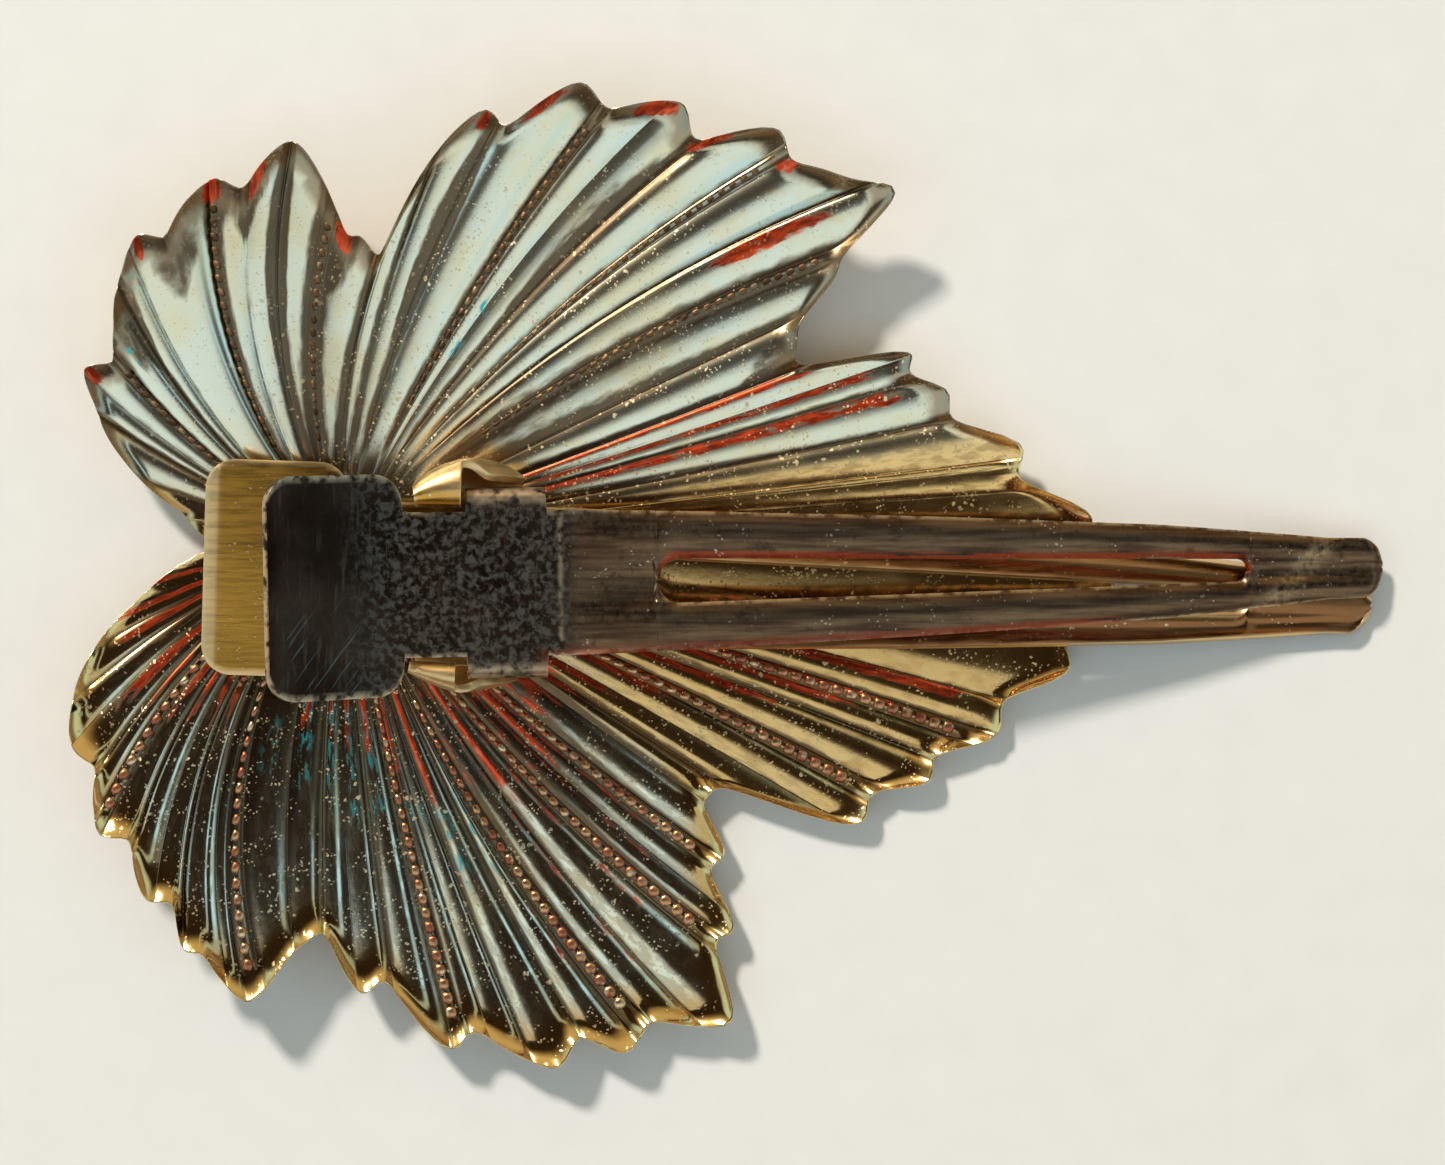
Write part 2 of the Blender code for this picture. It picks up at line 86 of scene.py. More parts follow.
# Levers: distances run along the strip from the hinge axis, halves run across it.
HINGE_RISE = 7.0 * MM
JAW_REACH = 63.9 * MM
UPPER_REACH = 64.9 * MM
TAB_HALF = 7.35 * MM
TAB_LENGTH = 9.6 * MM
TAB_CORNER = 2.0 * MM
TAB_BEND = math.radians(22.0)
TAB_BEND_LENGTH = 1.5 * MM
UPPER_LIP_BEND = math.radians(14.0)
UPPER_LIP_LENGTH = 1.6 * MM
LOWER_LIP_BEND = math.radians(-22.0)
LOWER_LIP_LENGTH = 1.2 * MM
ROLLED_LIP = 1.1 * MM
NECK_HALF = 4.8 * MM
NECK_BACK = 2.3 * MM
NECK_FRONT = 1.9 * MM
LOWER_NECK_BACK = 6.6 * MM
CREASE_AT = 8.1 * MM
CREASE_HALF_LENGTH = 0.4 * MM
CREASE = math.radians(1.5)
PRONG_HALF = [(8.1, 4.85), (33.4, 3.9), (49.2, 3.08), (61.1, 2.0)]
SLOT_START = 14.5 * MM
SLOT_END = 55.4 * MM
SLOT_HALF_START = 1.6 * MM
SLOT_HALF_END = 0.9 * MM
RAIL_ARCH = 0.35 * MM
NOSE = 2.2 * MM
NOSE_BEND = math.radians(-50.0)
NOSE_BEND_LENGTH = 1.0 * MM
TIP_CLEARANCE = 0.12 * MM

# Folded ears of the upper lever, claws and hooks of the lower one.
FOLD_RADIUS = 0.45 * MM
EAR_FOLD = 5.6 * MM
EAR_END = 7.2 * MM
EAR_DEPTH = 3.3 * MM
CLAW_FOLD = 6.1 * MM
CLAW_START = -1.7 * MM
CLAW_END = 5.3 * MM
CLAW_BULGE = 1.05 * MM
CLAW_UNEVEN = 0.25 * MM
CLAW_TURN_IN = 0.92
HOOK_TURN_IN = 0.62
REAR_TUCK = 0.55 * MM
HOOK_END = 1.35 * MM
CLAW_BLEND_END = 3.3 * MM
HOOK_RISE = 0.75 * MM
HOOK_CUT = 0.02 * MM

# Spring strip between the levers.
SPRING_HALF = 3.0 * MM
SPRING_BACK = 9.0 * MM
SPRING_LOOP_AT = 3.0 * MM

# How the clip lies on the table, and how askew the upper lever sits on the hooks.
LOWER_YAW = math.radians(-1.95)
LOWER_PITCH = math.radians(2.5)
ROLL = math.radians(3.0)
SKEW = math.radians(2.7)
SIDE_PLAY = 0.35 * MM

# Points across one rail from its outer to its inner edge, and the shape points of an ear and a claw.
RAIL_SHARES = [1.0, 0.8, 0.55, 0.25, -0.05, -0.35, -0.6, -0.8, -1.0]
EAR_COLUMNS = 9
CLAW_COLUMNS = 18
ROW_MARGIN = 1e-7

# Leaf, in millimetres: a shallow bowl, fluted from the point the veins meet at.
VEIN_ORIGIN = Vector((-26.7, 2.7))
BOWL_LOW = Vector((-10.6, -14.2))
BOWL_FLOOR = 1.18
BOWL_RADIUS = 240.0
TAIL_RISE = 3.4
TAIL_LENGTH = 38.0
FRONT_SLOPE = 0.018
STEM_FLAT_Y = 7.8
STEM_FLAT_HALF = 16.0
SEAT_Y = 0.36
SEAT_HINGE_X = -19.4
SEAT_HALF = 5.0
FLUTE_RISE = 0.12
FLUTE_LIMIT = 0.7
FLUTE_POWER = 2.8
LIP_RISE = 0.6
LIP_WIDTH = 1.9
RIM_STEP = 0.1
TIP_ROUNDING = 0.85
TOOTH_BULGE = 0.07
LINE_WIDTH = 0.75
GROOVE_LIMIT = 1.4
COLUMN_STEP = 0.55
COLUMN_GAP = 0.07

# Pressed beads, smaller on the lobes above the clip, which start at UPPER_SIDE degrees.
UPPER_SIDE = 5.0
BEADS_FROM = 0.3
BEADS_TO = 0.95
BEAD_PITCH = 1.0
BEAD_STRIP = 0.5
UPPER_BEAD_PITCH = 0.85
UPPER_BEAD_STRIP = 0.26
BEAD_HALF_LENGTH = 0.43
BEAD_HEIGHT = 0.27
BEAD_SINK = 0.08
BEAD_SQUARENESS = 0.72

# Where the leaf's tints lie, and the lean of the scratches on the upper tab.
STREAK_LENGTH = 9.0
FRONT_POLISH = 0.8
RIM_SHADE = 2.0
UPPER_RIM_SHADE = 1.5
RIM_TINT_AT = 0.65
RIM_TINT_HALF = 0.85
BROWN_STRENGTH = 2.5
TEAL_STRENGTH = 4.0
SCRATCH_ANGLE = math.radians(-55.0)

# Floor, camera and key light, in metres; the lens in millimetres.
FLOOR_GAP = 0.02 * MM
FLOOR_SIZE = 12.0
CAMERA_AT = Vector((-0.6, -0.19, 220.4)) * MM
FOCAL_LENGTH = 79.1
SENSOR_WIDTH = 36.0
KEY_LIGHT_AT = Vector((-0.99, 1.5, 1.26))
KEY_LIGHT_SIZE = 0.27
KEY_LIGHT_POWER = 52.0
KEY_LIGHT_COLOUR = (1.0, 0.92, 0.82)

# Leaf rim round the point the veins meet at: angle in degrees, radius in mm.
RIM = [
    (-180, 9.2), (-176, 9.3), (-164, 14.4), (-155, 18.9), (-147, 21.8),
    (-142, 23.0), (-137, 22.7), (-129, 25.8), (-125, 24.9),
    (-118, 27.8), (-114.5, 27.2), (-110.6, 30.0), (-108.6, 29.6),
    (-101, 32.1), (-96.7, 28.5), (-92.6, 26.9),
    (-87.5, 31.2), (-84.5, 30.3), (-78, 35.8), (-75, 34.9),
    (-67.7, 39.2), (-64.4, 37.8), (-61.2, 40.3), (-57.3, 39.3),
    (-50.7, 42.5), (-47.3, 37.6), (-44.5, 38.0), (-42.4, 34.1),
    (-39, 34.0), (-36.6, 31.0), (-32.8, 31.5),
    (-29.3, 40.3), (-25.4, 40.4), (-22.3, 43.9), (-20.1, 43.3),
    (-16.7, 47.1), (-13.6, 46.8), (-10, 51.1), (-7.6, 50.0),
    (-3.5, 53.5), (-0.6, 50.8), (1.9, 51.8), (5.2, 46.6),
    (8, 47.3), (11.2, 42.6), (14, 42.9), (16.5, 40.2),
    (19, 40.8), (20, 34.5), (21.6, 33.7), (25.8, 35.1),
    (28.1, 38.8), (29.5, 39.0), (31.5, 44.6), (35, 42.6),
    (40, 40.1), (42.8, 40.9), (48.2, 36.3), (51.3, 37.7),
    (57.7, 34.4), (61.8, 35.0), (67.6, 30.2), (70.7, 30.8),
    (75.5, 27.2), (79.4, 22.4), (81.8, 19.6),
    (86, 20.8), (88.3, 20.7), (94, 26.0), (96.2, 27.1),
    (105.2, 24.6), (108.5, 25.8), (119.9, 23.6), (123, 24.7),
    (128.3, 23.5), (136.6, 21.1), (142, 19.7), (146, 21.0),
    (151, 19.2), (160, 15.8), (170, 11.2), (180, 9.2),
]

# Grooves between the flutes: angle at the rim, turn towards the veins' meeting
# point (both in degrees), depth against a plain groove, and 1 where beaded.
GROOVES = [
    (-176, 0, 0.6, 0), (-170, -3, 0.6, 0), (-163, -6, 0.8, 0), (-156, -9, 0.8, 0), (-149, -12, 0.8, 0),
    (-142.5, -15, 0.5, 0), (-136, -17, 1.0, 0), (-129.8, -19, 0.8, 1), (-123.5, -21, 1.0, 0),
    (-117, -23.5, 0.5, 0), (-111, -26, 1.0, 0), (-104, -29, 0.7, 0), (-100.5, -28, 0.8, 1),
    (-96.5, -14, 0.7, 0), (-92.6, -5, 1.2, 0), (-88, -4, 0.5, 0), (-83.5, -2, 1.0, 0), (-77, -2, 0.9, 1),
    (-73.5, -3, 0.4, 0), (-70, -4, 0.8, 0), (-64.4, -6, 0.9, 0), (-58.5, -11, 1.0, 1),
    (-53.5, -9, 0.6, 0), (-47, -11, 1.0, 1), (-44, -8, 0.6, 0), (-41, -6, 0.9, 1), (-36, -1, 1.0, 0),
    (-33, 0, 1.2, 0), (-29.5, 1, 0.5, 0), (-25.6, 3, 1.0, 1), (-20.3, 1, 1.0, 0), (-17.3, 2, 1.0, 1),
    (-13.6, 2, 0.6, 0), (-8, 1, 0.6, 0), (-3, 0, 0.5, 0), (0.5, 0, 0.6, 0), (4.2, 0, 0.6, 0),
    (6.6, 0, 0.5, 1), (11.2, -1, 0.9, 0), (15.6, -1, 0.9, 0), (18.0, -1, 0.4, 0), (20.6, -1, 1.2, 0),
    (26.2, 1, 1.0, 0), (29.7, 11, 0.9, 1), (33.7, 14, 0.9, 0), (40.8, 12, 0.75, 1), (47.8, 11, 1.1, 0),
    (52.8, 11, 0.4, 0), (58.2, 8, 1.0, 1), (69, 10, 1.1, 0), (75.5, 11, 0.9, 0), (82, 13, 1.2, 0),
    (90.8, 18, 1.0, 1), (96.5, 22, 1.3, 0), (103.6, 24, 0.5, 0), (109, 24, 1.1, 1), (125.5, 20, 0.5, 0),
    (131, 18, 1.0, 0), (141, 14, 0.9, 1), (147, 11, 0.6, 0), (152.7, 8, 1.0, 0), (163, 4, 0.8, 0),
    (172, 0, 0.6, 0),
]

# Painted red reflections along the rim of the lobes above the clip: angle and half width, in degrees.
RIM_RED_REFLECTIONS = [
    (39.4, 1.2), (46.8, 1.6), (53.3, 2.5), (64.2, 2.0), (70.5, 1.2),
    (88.4, 1.9), (102.0, 2.2), (109.4, 1.9), (123.9, 1.1), (145.9, 1.5),
]
# Marks on the same lobes: angle and half width in degrees, then middle and half length
# as shares of the way from the veins' meeting point to the rim.
# The red marks are painted red reflections.
RED_REFLECTION_MARKS = [(32.5, 1.0, 0.8, 0.12)]
TEAL_MARKS = [(136.5, 1.4, 0.86, 0.07), (97.2, 1.2, 0.62, 0.08), (53.0, 1.6, 0.45, 0.08)]
BROWN_MARKS = [
    (22.5, 3.0, 0.96, 0.08), (48.2, 2.8, 0.74, 0.24), (69.5, 2.4, 0.7, 0.24), (88.0, 3.5, 0.96, 0.16),
    (97.2, 2.4, 0.74, 0.26), (103.0, 5.0, 0.96, 0.1), (117.0, 7.0, 0.92, 0.13), (133.0, 6.0, 0.92, 0.16),
]

# ---- colours ----

# Leaf.
PALE_BRASS = (0.77, 0.81, 0.69)
WARM_BRASS = (0.82, 0.76, 0.54)
GOLD_STREAK = (0.84, 0.7, 0.4)
RICH_GOLD = (0.88, 0.58, 0.23)
OLD_GOLD = (0.56, 0.35, 0.13)
LACQUER_THIN = (0.15, 0.085, 0.035)
LACQUER_THICK = (0.045, 0.025, 0.012)
# Painted dark reflection on the lower lobes.
SHADE_BROWN = (0.22, 0.14, 0.06)
# Rim band: brown on the upper lobes, gold on the lower lobes as a painted glint.
RIM_BROWN = (0.27, 0.185, 0.1)
RIM_GOLD = (0.92, 0.66, 0.28)
# Painted red reflections, bright and dark.
REFLECTED_RED = (0.88, 0.1, 0.025)
REFLECTED_RED_DARK = (0.36, 0.045, 0.02)
OXIDE_TEAL = (0.05, 0.46, 0.5)
LEAF_DUST = (0.8, 0.62, 0.36)
EDGE_GOLD = (0.86, 0.62, 0.28)
EDGE_COPPER = (0.62, 0.36, 0.16)

# Beads.
BEAD_BROWN = (0.22, 0.125, 0.06)
BEAD_DARK = (0.09, 0.05, 0.026)
BEAD_COPPER = (0.62, 0.33, 0.17)
BEAD_RED = (0.38, 0.13, 0.07)
BEAD_GOLD = (0.8, 0.7, 0.46)

# Upper lever.
BRONZE_BLACK = (0.016, 0.009, 0.006)
BRONZE_BROWN = (0.046, 0.028, 0.019)
BRUSH_TAN = (0.14, 0.095, 0.065)
SCRATCH_GREY = (0.17, 0.2, 0.19)
PRONG_DARK = (0.078, 0.042, 0.025)
PRONG_LIGHT = (0.195, 0.118, 0.066)
SMEAR_TAN = (0.46, 0.31, 0.17)
MOTTLE_GREY = (0.15, 0.135, 0.115)
DIRT_BROWN = (0.05, 0.03, 0.02)
# Worn edges, and painted highlights on the crease and folds.
WEAR_AND_SHEEN_TAN = (0.6, 0.44, 0.28)
RUBBED_RED = (0.48, 0.06, 0.022)
BRONZE_DUST = (0.62, 0.52, 0.4)

# Lower lever.
LEVER_GOLD = (0.7, 0.38, 0.07)
LEVER_BRASS = (0.5, 0.27, 0.05)
JAW_COPPER = (0.26, 0.105, 0.05)
# Worn edges, and painted highlights on the crease, folds and rolled lip.
WEAR_AND_SHEEN_GOLD = (0.86, 0.64, 0.35)
LEVER_DUST = (0.8, 0.7, 0.5)

# Spring and solder.
STEEL = (0.4, 0.4, 0.41)
STEEL_BROWN = (0.22, 0.19, 0.17)
SOLDER = (0.5, 0.48, 0.44)
SOLDER_DULL = (0.3, 0.25, 0.19)

# Studio.
FLOOR_SHADE = (0.74, 0.735, 0.72)
FLOOR_LIGHT = (0.8, 0.795, 0.78)
ROOM_DARK = (0.036, 0.024, 0.015)
ROOM_LOW = (0.34, 0.25, 0.16)
WINDOW_PALE = (0.83, 0.9, 0.89)
STRIP_BLUE = (0.62, 0.86, 0.98)
ROOM_GLOW = (0.62, 0.52, 0.32)
BACKDROP = (0.8, 0.79, 0.76)


# ---- helpers ----

def linked(name, data):
    item = bpy.data.objects.new(name, data)
    bpy.context.scene.collection.objects.link(item)
    return item


def smooth_mesh(name, data):
    for face in data.faces:
        face.smooth = True
    mesh = bpy.data.meshes.new(name)
    data.to_mesh(mesh)
    data.free()
    return mesh


def add_piece(name, mesh, materials, body, node):
    """A mesh object that rides on one body and stands for one CAD node."""
    for one in materials:
        mesh.materials.append(one)
    item = linked(name, mesh)
    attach(item, body)
    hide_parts(node)
    return item


def interpolate(table, at):
    """Straight-line value between the rows of a table, held at both ends."""
    for (x0, y0), (x1, y1) in zip(table, table[1:]):
        if at <= x1:
            return y0 + (y1 - y0) * max(at - x0, 0.0) / (x1 - x0)
    return table[-1][1]


def ease(low, high, at):
    """Smooth step from 0 at low to 1 at high; low may be the larger."""
    share = np.clip((at - low) / (high - low), 0.0, 1.0)
    return share * share * (3.0 - 2.0 * share)


def band(value, low, high, soft):
    """One between two limits, fading to nothing over a soft edge."""
    return ease(low - soft, low, value) * ease(high + soft, high, value)


# ---- node tools ----

class Nodes:
    """Short names for building a node tree."""

    def __init__(self, tree):
        self.tree = tree
        self.tree.nodes.clear()

    def add(self, kind, **settings):
        node = self.tree.nodes.new(kind)
        for name, value in settings.items():
            setattr(node, name, value)
        return node

    def feed(self, socket, value):
        if isinstance(value, bpy.types.NodeSocket):
            self.tree.links.new(value, socket)
        else:
            socket.default_value = value

    def fill(self, kind, values, **settings):
        """A node with its sockets, by name or in order, fed from the values."""
        node = self.add(kind, **settings)
        for key, value in values.items() if isinstance(values, dict) else enumerate(values):
            self.feed(node.inputs[key], value)
        return node

    def math(self, operation, first, second=0.0):
        return self.fill("ShaderNodeMath", (first, second), operation=operation).outputs[0]

    def times(self, first, second):
        return self.math("MULTIPLY", first, second)

    def plus(self, first, second):
        return self.math("ADD", first, second)

    def fused(self, value, factor, addend):
        """Value times factor, plus addend."""
        return self.fill("ShaderNodeMath", (value, factor, addend), operation="MULTIPLY_ADD").outputs[0]

    def mix(self, share, first, second):
        """A colour between the first and the second."""
        ends = [(*tone, 1.0) if isinstance(tone, tuple) else tone for tone in (first, second)]
        return self.fill("ShaderNodeMix", {0: share, 6: ends[0], 7: ends[1]}, data_type="RGBA").outputs[2]

    def over(self, colour, share, tone, strength):
        """The colour with a tone laid over it where the share is high."""
        return self.mix(self.times(share, strength), colour, tone)

    def step(self, value, low, high, to_low=0.0, to_high=1.0):
        """Smooth step of a value; low may be the larger."""
        numbers = (value, low, high, to_low, to_high)
        return self.fill("ShaderNodeMapRange", numbers, interpolation_type="SMOOTHSTEP").outputs[0]

    def noise(self, vector, scale, detail=3.0, roughness=0.5, distortion=0.0, colour=False):
        values = {"Vector": vector, "Scale": scale, "Detail": detail, "Roughness": roughness}
        node = self.fill("ShaderNodeTexNoise", {**values, "Distortion": distortion})
        return node.outputs[1] if colour else node.outputs[0]

    def specks(self, vector, scale, size):
        """Small ragged spots."""
        shift = self.noise(vector, 1.3 * scale, 2.0, colour=True)
        values = (shift, (0.9 / scale,) * 3, vector)
        ragged = self.fill("ShaderNodeVectorMath", values, operation="MULTIPLY_ADD").outputs[0]
        node = self.fill("ShaderNodeTexVoronoi", {"Vector": ragged, "Scale": scale})
        return self.step(node.outputs["Distance"], size, 0.6 * size)

    def stretch(self, vector, scale):
        return self.fill("ShaderNodeMapping", {"Vector": vector, "Scale": scale}).outputs[0]

    def position(self):
        return self.add("ShaderNodeTexCoord").outputs["Object"]

    def split(self, vector):
        """A vector's three parts."""
        return self.fill("ShaderNodeSeparateXYZ", (vector,)).outputs

    def attribute(self, name):
        return self.add("ShaderNodeAttribute", attribute_name=name).outputs["Fac"]

    def bump(self, height, strength, distance):
        values = {"Height": height, "Strength": strength, "Distance": distance}
        return self.fill("ShaderNodeBump", values).outputs[0]

    def metal(self, colour, roughness, normal, metallic=1.0):
        values = {"Base Color": colour, "Roughness": roughness, "Normal": normal, "Metallic": metallic}
        shader = self.fill("ShaderNodeBsdfPrincipled", values)
        self.fill("ShaderNodeOutputMaterial", (shader.outputs[0],))


def new_material(name):
    """An empty node material and its node builder."""
    made = bpy.data.materials.new(name)
    made.use_nodes = True
    return made, Nodes(made.node_tree)


# ---- materials ----

def leaf_material():
    """Polished pale brass with painted red reflections, teal oxide, painted gold glints, painted shade and
    dark reflections, brown lacquer in its grooves and dust near the clip.
    """
    made, n = new_material("leaf_brass")
    place = n.position()
    fan = n.add("ShaderNodeAttribute", attribute_name="fan").outputs["Vector"]
    cloud = n.noise(place, 150.0, 4.0)
    patch = n.noise(place, 420.0, 4.0, 0.6, 0.8)
    streak = n.noise(fan, 2.3, 4.0, 0.55, 0.4)
    thread = n.noise(fan, 5.5, 3.0, 0.5, 0.2)
    fine = n.noise(place, 1600.0, 3.0)
    groove = n.attribute("groove")
    lower_shade = n.attribute("lower_shade")
    colour = n.mix(n.step(cloud, 0.38, 0.66), PALE_BRASS, WARM_BRASS)
    colour = n.mix(n.step(streak, 0.5, 0.72, 0.0, 0.6), colour, GOLD_STREAK)
    # Gold where the gold attribute is high; along the lower lobes' rims this is a painted glint.
    gold_tone = n.mix(n.step(thread, 0.42, 0.62), RICH_GOLD, OLD_GOLD)
    colour = n.mix(n.attribute("gold"), colour, gold_tone)
    brown = n.mix(patch, LACQUER_THIN, LACQUER_THICK)
    # Painted dark brown reflections streaked over the lower lobes and under the lower lever.
    shade_streaks = n.times(lower_shade, n.step(thread, 0.6, 0.46))
    colour = n.over(colour, shade_streaks, SHADE_BROWN, 0.45)
    # Painted shade on the inner lower lobes, and the brown marks, deepen the lacquer.
    shaded = n.plus(groove, n.times(n.attribute("shade_and_brown"), 0.26))
    lacquer = n.step(n.plus(shaded, n.times(thread, 0.5)), 0.62, 0.98)
    colour = n.over(colour, lacquer, brown, 0.92)
    # Rim band: brown on the upper lobes' rims, gold as a painted glint on the lower lobes' rims.
    rim = n.step(n.plus(n.attribute("rim"), n.times(patch, 0.5)), 0.62, 0.95)
    rim_tone = n.mix(n.attribute("gold"), RIM_BROWN, RIM_GOLD)
    colour = n.over(colour, rim, rim_tone, 0.75)
    lines = n.noise(fan, 8.0, 3.0, 0.5)
    ragged = n.plus(n.times(thread, 0.85), n.times(lines, 0.15))
    # Painted red reflections laid over the flutes and rims.
    red = n.step(n.plus(n.times(n.attribute("red"), 0.6), ragged), 0.82, 1.03)
    red_tone = n.mix(n.step(lines, 0.36, 0.66), REFLECTED_RED, REFLECTED_RED_DARK)
    colour = n.mix(red, colour, red_tone)
    teal = n.times(n.attribute("teal"), n.step(thread, 0.56, 0.48))
    teal = n.times(teal, n.step(lines, 0.56, 0.44))
    teal = n.math("MINIMUM", n.times(teal, n.step(cloud, 0.46, 0.54)), 1.0)
    colour = n.mix(teal, colour, OXIDE_TEAL)
    near = n.attribute("dust")
    grains = n.times(n.specks(place, 3300.0, 0.3), n.step(n.noise(place, 620.0, 4.0), 0.46, 0.6))
    crumbs = n.times(n.specks(place, 1500.0, 0.24), n.step(n.noise(place, 380.0, 3.0), 0.52, 0.6))
    dust = n.times(n.math("MAXIMUM", grains, crumbs), near)
    colour = n.over(colour, dust, LEAF_DUST, 0.8)
    rough = n.plus(n.times(near, 0.03), n.step(cloud, 0.45, 0.75, 0.07, 0.13))
    rough = n.plus(rough, n.times(lacquer, 0.1))
    rough = n.plus(rough, n.step(lower_shade, 0.6, 0.0, 0.0, 0.11))
    rough = n.plus(rough, n.times(dust, 0.35))
    normal = n.bump(n.plus(fine, n.times(dust, 2.0)), 0.1, 0.03 * MM)
    # The painted red reflections and the teal oxide are less metallic.
    reflection_and_oxide = n.math("MAXIMUM", red, teal)
    n.metal(colour, rough, normal, n.fused(reflection_and_oxide, -0.3, 1.0))
    return made


def bead_material():
    """The beads' brown lacquer, copper on the lower lobes and worn to gold on some crowns."""
    made, n = new_material("bead_lacquer")
    place = n.position()
    y = n.split(place)[1]
    patch = n.noise(place, 420.0, 4.0, 0.6, 0.8)
    lower = n.step(y, 0.002, -0.004)
    dark = n.mix(n.step(patch, 0.4, 0.6), BEAD_BROWN, BEAD_DARK)
    copper = n.mix(n.step(patch, 0.4, 0.6), BEAD_COPPER, BEAD_RED)
    colour = n.mix(lower, dark, copper)
    worn = n.step(n.noise(place, 1500.0, 2.0), 0.54, 0.7, 0.0, 0.8)
    worn = n.times(worn, n.step(lower, 0.0, 1.0, 0.25, 1.0))
    colour = n.mix(worn, colour, BEAD_GOLD)
    rough = n.plus(n.step(patch, 0.3, 0.7, 0.24, 0.42), n.step(lower, 1.0, 0.0, 0.0, 0.22))
    n.metal(colour, rough, n.bump(patch, 0.2, 0.05 * MM))
    return made


def leaf_edge_material():
    """The sheared edge of the sheet: bright, slightly rough gold."""
    made, n = new_material("leaf_cut_edge")
    place = n.position()
    cloud = n.noise(place, 500.0, 4.0)
    colour = n.mix(cloud, EDGE_GOLD, EDGE_COPPER)
    normal = n.bump(n.noise(place, 2500.0, 3.0), 0.35, 0.05 * MM)
    n.metal(colour, n.step(cloud, 0.3, 0.7, 0.22, 0.42), normal)
    return made


def bronze_material():
    """Aged brown bronze with fine grey mottling, hairline scratches, worn tan edges and painted tan
    highlights on the crease and ear folds.
    """
    made, n = new_material("aged_bronze")
    place = n.position()
    along, across, _ = n.split(place)
    neck = n.times(n.step(along, -0.0265, -0.0215), n.step(along, -0.0095, -0.0115))
    mottle = n.noise(place, 2100.0, 4.0, 0.6, 0.3)
    cloud = n.noise(place, 140.0, 4.0)
    brushed = n.noise(n.stretch(place, (3600.0, 300.0, 600.0)), 1.0, 3.0)
    drawn = n.noise(n.stretch(place, (160.0, 2600.0, 600.0)), 1.0, 4.0)
    prong = n.step(along, -0.0115, -0.0098)
    colour = n.mix(n.step(cloud, 0.35, 0.68), BRONZE_BLACK, BRONZE_BROWN)
    colour = n.mix(n.step(brushed, 0.55, 0.75, 0.0, 0.3), colour, BRUSH_TAN)
    rotation = {"Vector": place, "Angle": SCRATCH_ANGLE}
    turned = n.fill("ShaderNodeVectorRotate", rotation, rotation_type="Z_AXIS").outputs[0]
    scratched = n.noise(n.stretch(turned, (180.0, 5200.0, 300.0)), 1.0, 2.0)
    corner = n.times(n.step(along, -0.022, -0.025), n.step(across, 0.0, -0.004))
    scratch = n.times(n.step(scratched, 0.64, 0.72), corner)
    colour = n.over(colour, scratch, SCRATCH_GREY, 0.4)
    satin = n.mix(n.step(drawn, 0.3, 0.7), PRONG_DARK, PRONG_LIGHT)
    colour = n.mix(prong, colour, satin)
    smear = n.fused(across, 0.9, n.times(along, -1.0))
    off_smear = n.math("ABSOLUTE", n.plus(smear, 0.0385))
    near_tip = n.times(n.step(off_smear, 0.0017, 0.0003), n.step(mottle, 0.3, 0.7))
    colour = n.over(colour, near_tip, SMEAR_TAN, 0.7)
    grey = n.times(neck, n.step(mottle, 0.42, 0.64))
    colour = n.over(colour, grey, MOTTLE_GREY, 0.7)
    dirt = n.times(prong, n.step(n.noise(place, 800.0, 5.0, 0.7), 0.56, 0.68))
    colour = n.over(colour, dirt, DIRT_BROWN, 0.7)
    # Tan over worn edges, and as painted highlights on the crease and the ear folds.
    worn = n.times(n.attribute("wear_and_sheen"), n.step(n.noise(place, 1100.0, 3.0), 0.36, 0.56))
    colour = n.over(colour, worn, WEAR_AND_SHEEN_TAN, 0.85)
    reds = n.times(n.attribute("copper"), n.step(drawn, 0.34, 0.46))
    colour = n.over(colour, reds, RUBBED_RED, 0.9)
    grains = n.times(n.specks(place, 2600.0, 0.24), n.step(n.noise(place, 500.0), 0.54, 0.62))
    grains = n.times(grains, prong)
    colour = n.over(colour, grains, BRONZE_DUST, 0.7)
    rough = n.step(mottle, 0.3, 0.7, 0.22, 0.36)
    rough = n.plus(rough, n.times(neck, 0.12))
    relief = n.plus(mottle, n.plus(n.times(brushed, 0.5), grains))
    n.metal(colour, rough, n.bump(relief, 0.16, 0.04 * MM))
    return made


def lever_gold_material():
    """Clean satin gold on the tab and claws, coppery brown along the jaw, light gold on worn edges and as
    painted highlights on the crease, folds and rolled lip.
    """
    made, n = new_material("lever_gold")
    place = n.position()
    cloud = n.noise(place, 130.0, 4.0)
    brush = n.noise(n.stretch(place, (350.0, 3200.0, 500.0)), 1.0, 3.0)
    wear_and_sheen = n.attribute("wear_and_sheen")
    colour = n.mix(n.step(cloud, 0.35, 0.7), LEVER_GOLD, LEVER_BRASS)
    colour = n.over(colour, n.attribute("copper"), JAW_COPPER, 0.9)
    # Light gold over worn edges, and as painted highlights on the crease, folds and rolled lip.
    colour = n.over(colour, wear_and_sheen, WEAR_AND_SHEEN_GOLD, 0.85)
    rough = n.plus(n.step(brush, 0.3, 0.7, 0.2, 0.32), n.times(wear_and_sheen, 0.12))
    grains = n.times(n.specks(place, 2400.0, 0.26), n.step(n.noise(place, 500.0), 0.5, 0.6))
    colour = n.over(colour, grains, LEVER_DUST, 0.6)
    normal = n.bump(n.plus(brush, grains), 0.14, 0.04 * MM)
    n.metal(colour, rough, normal)
    return made


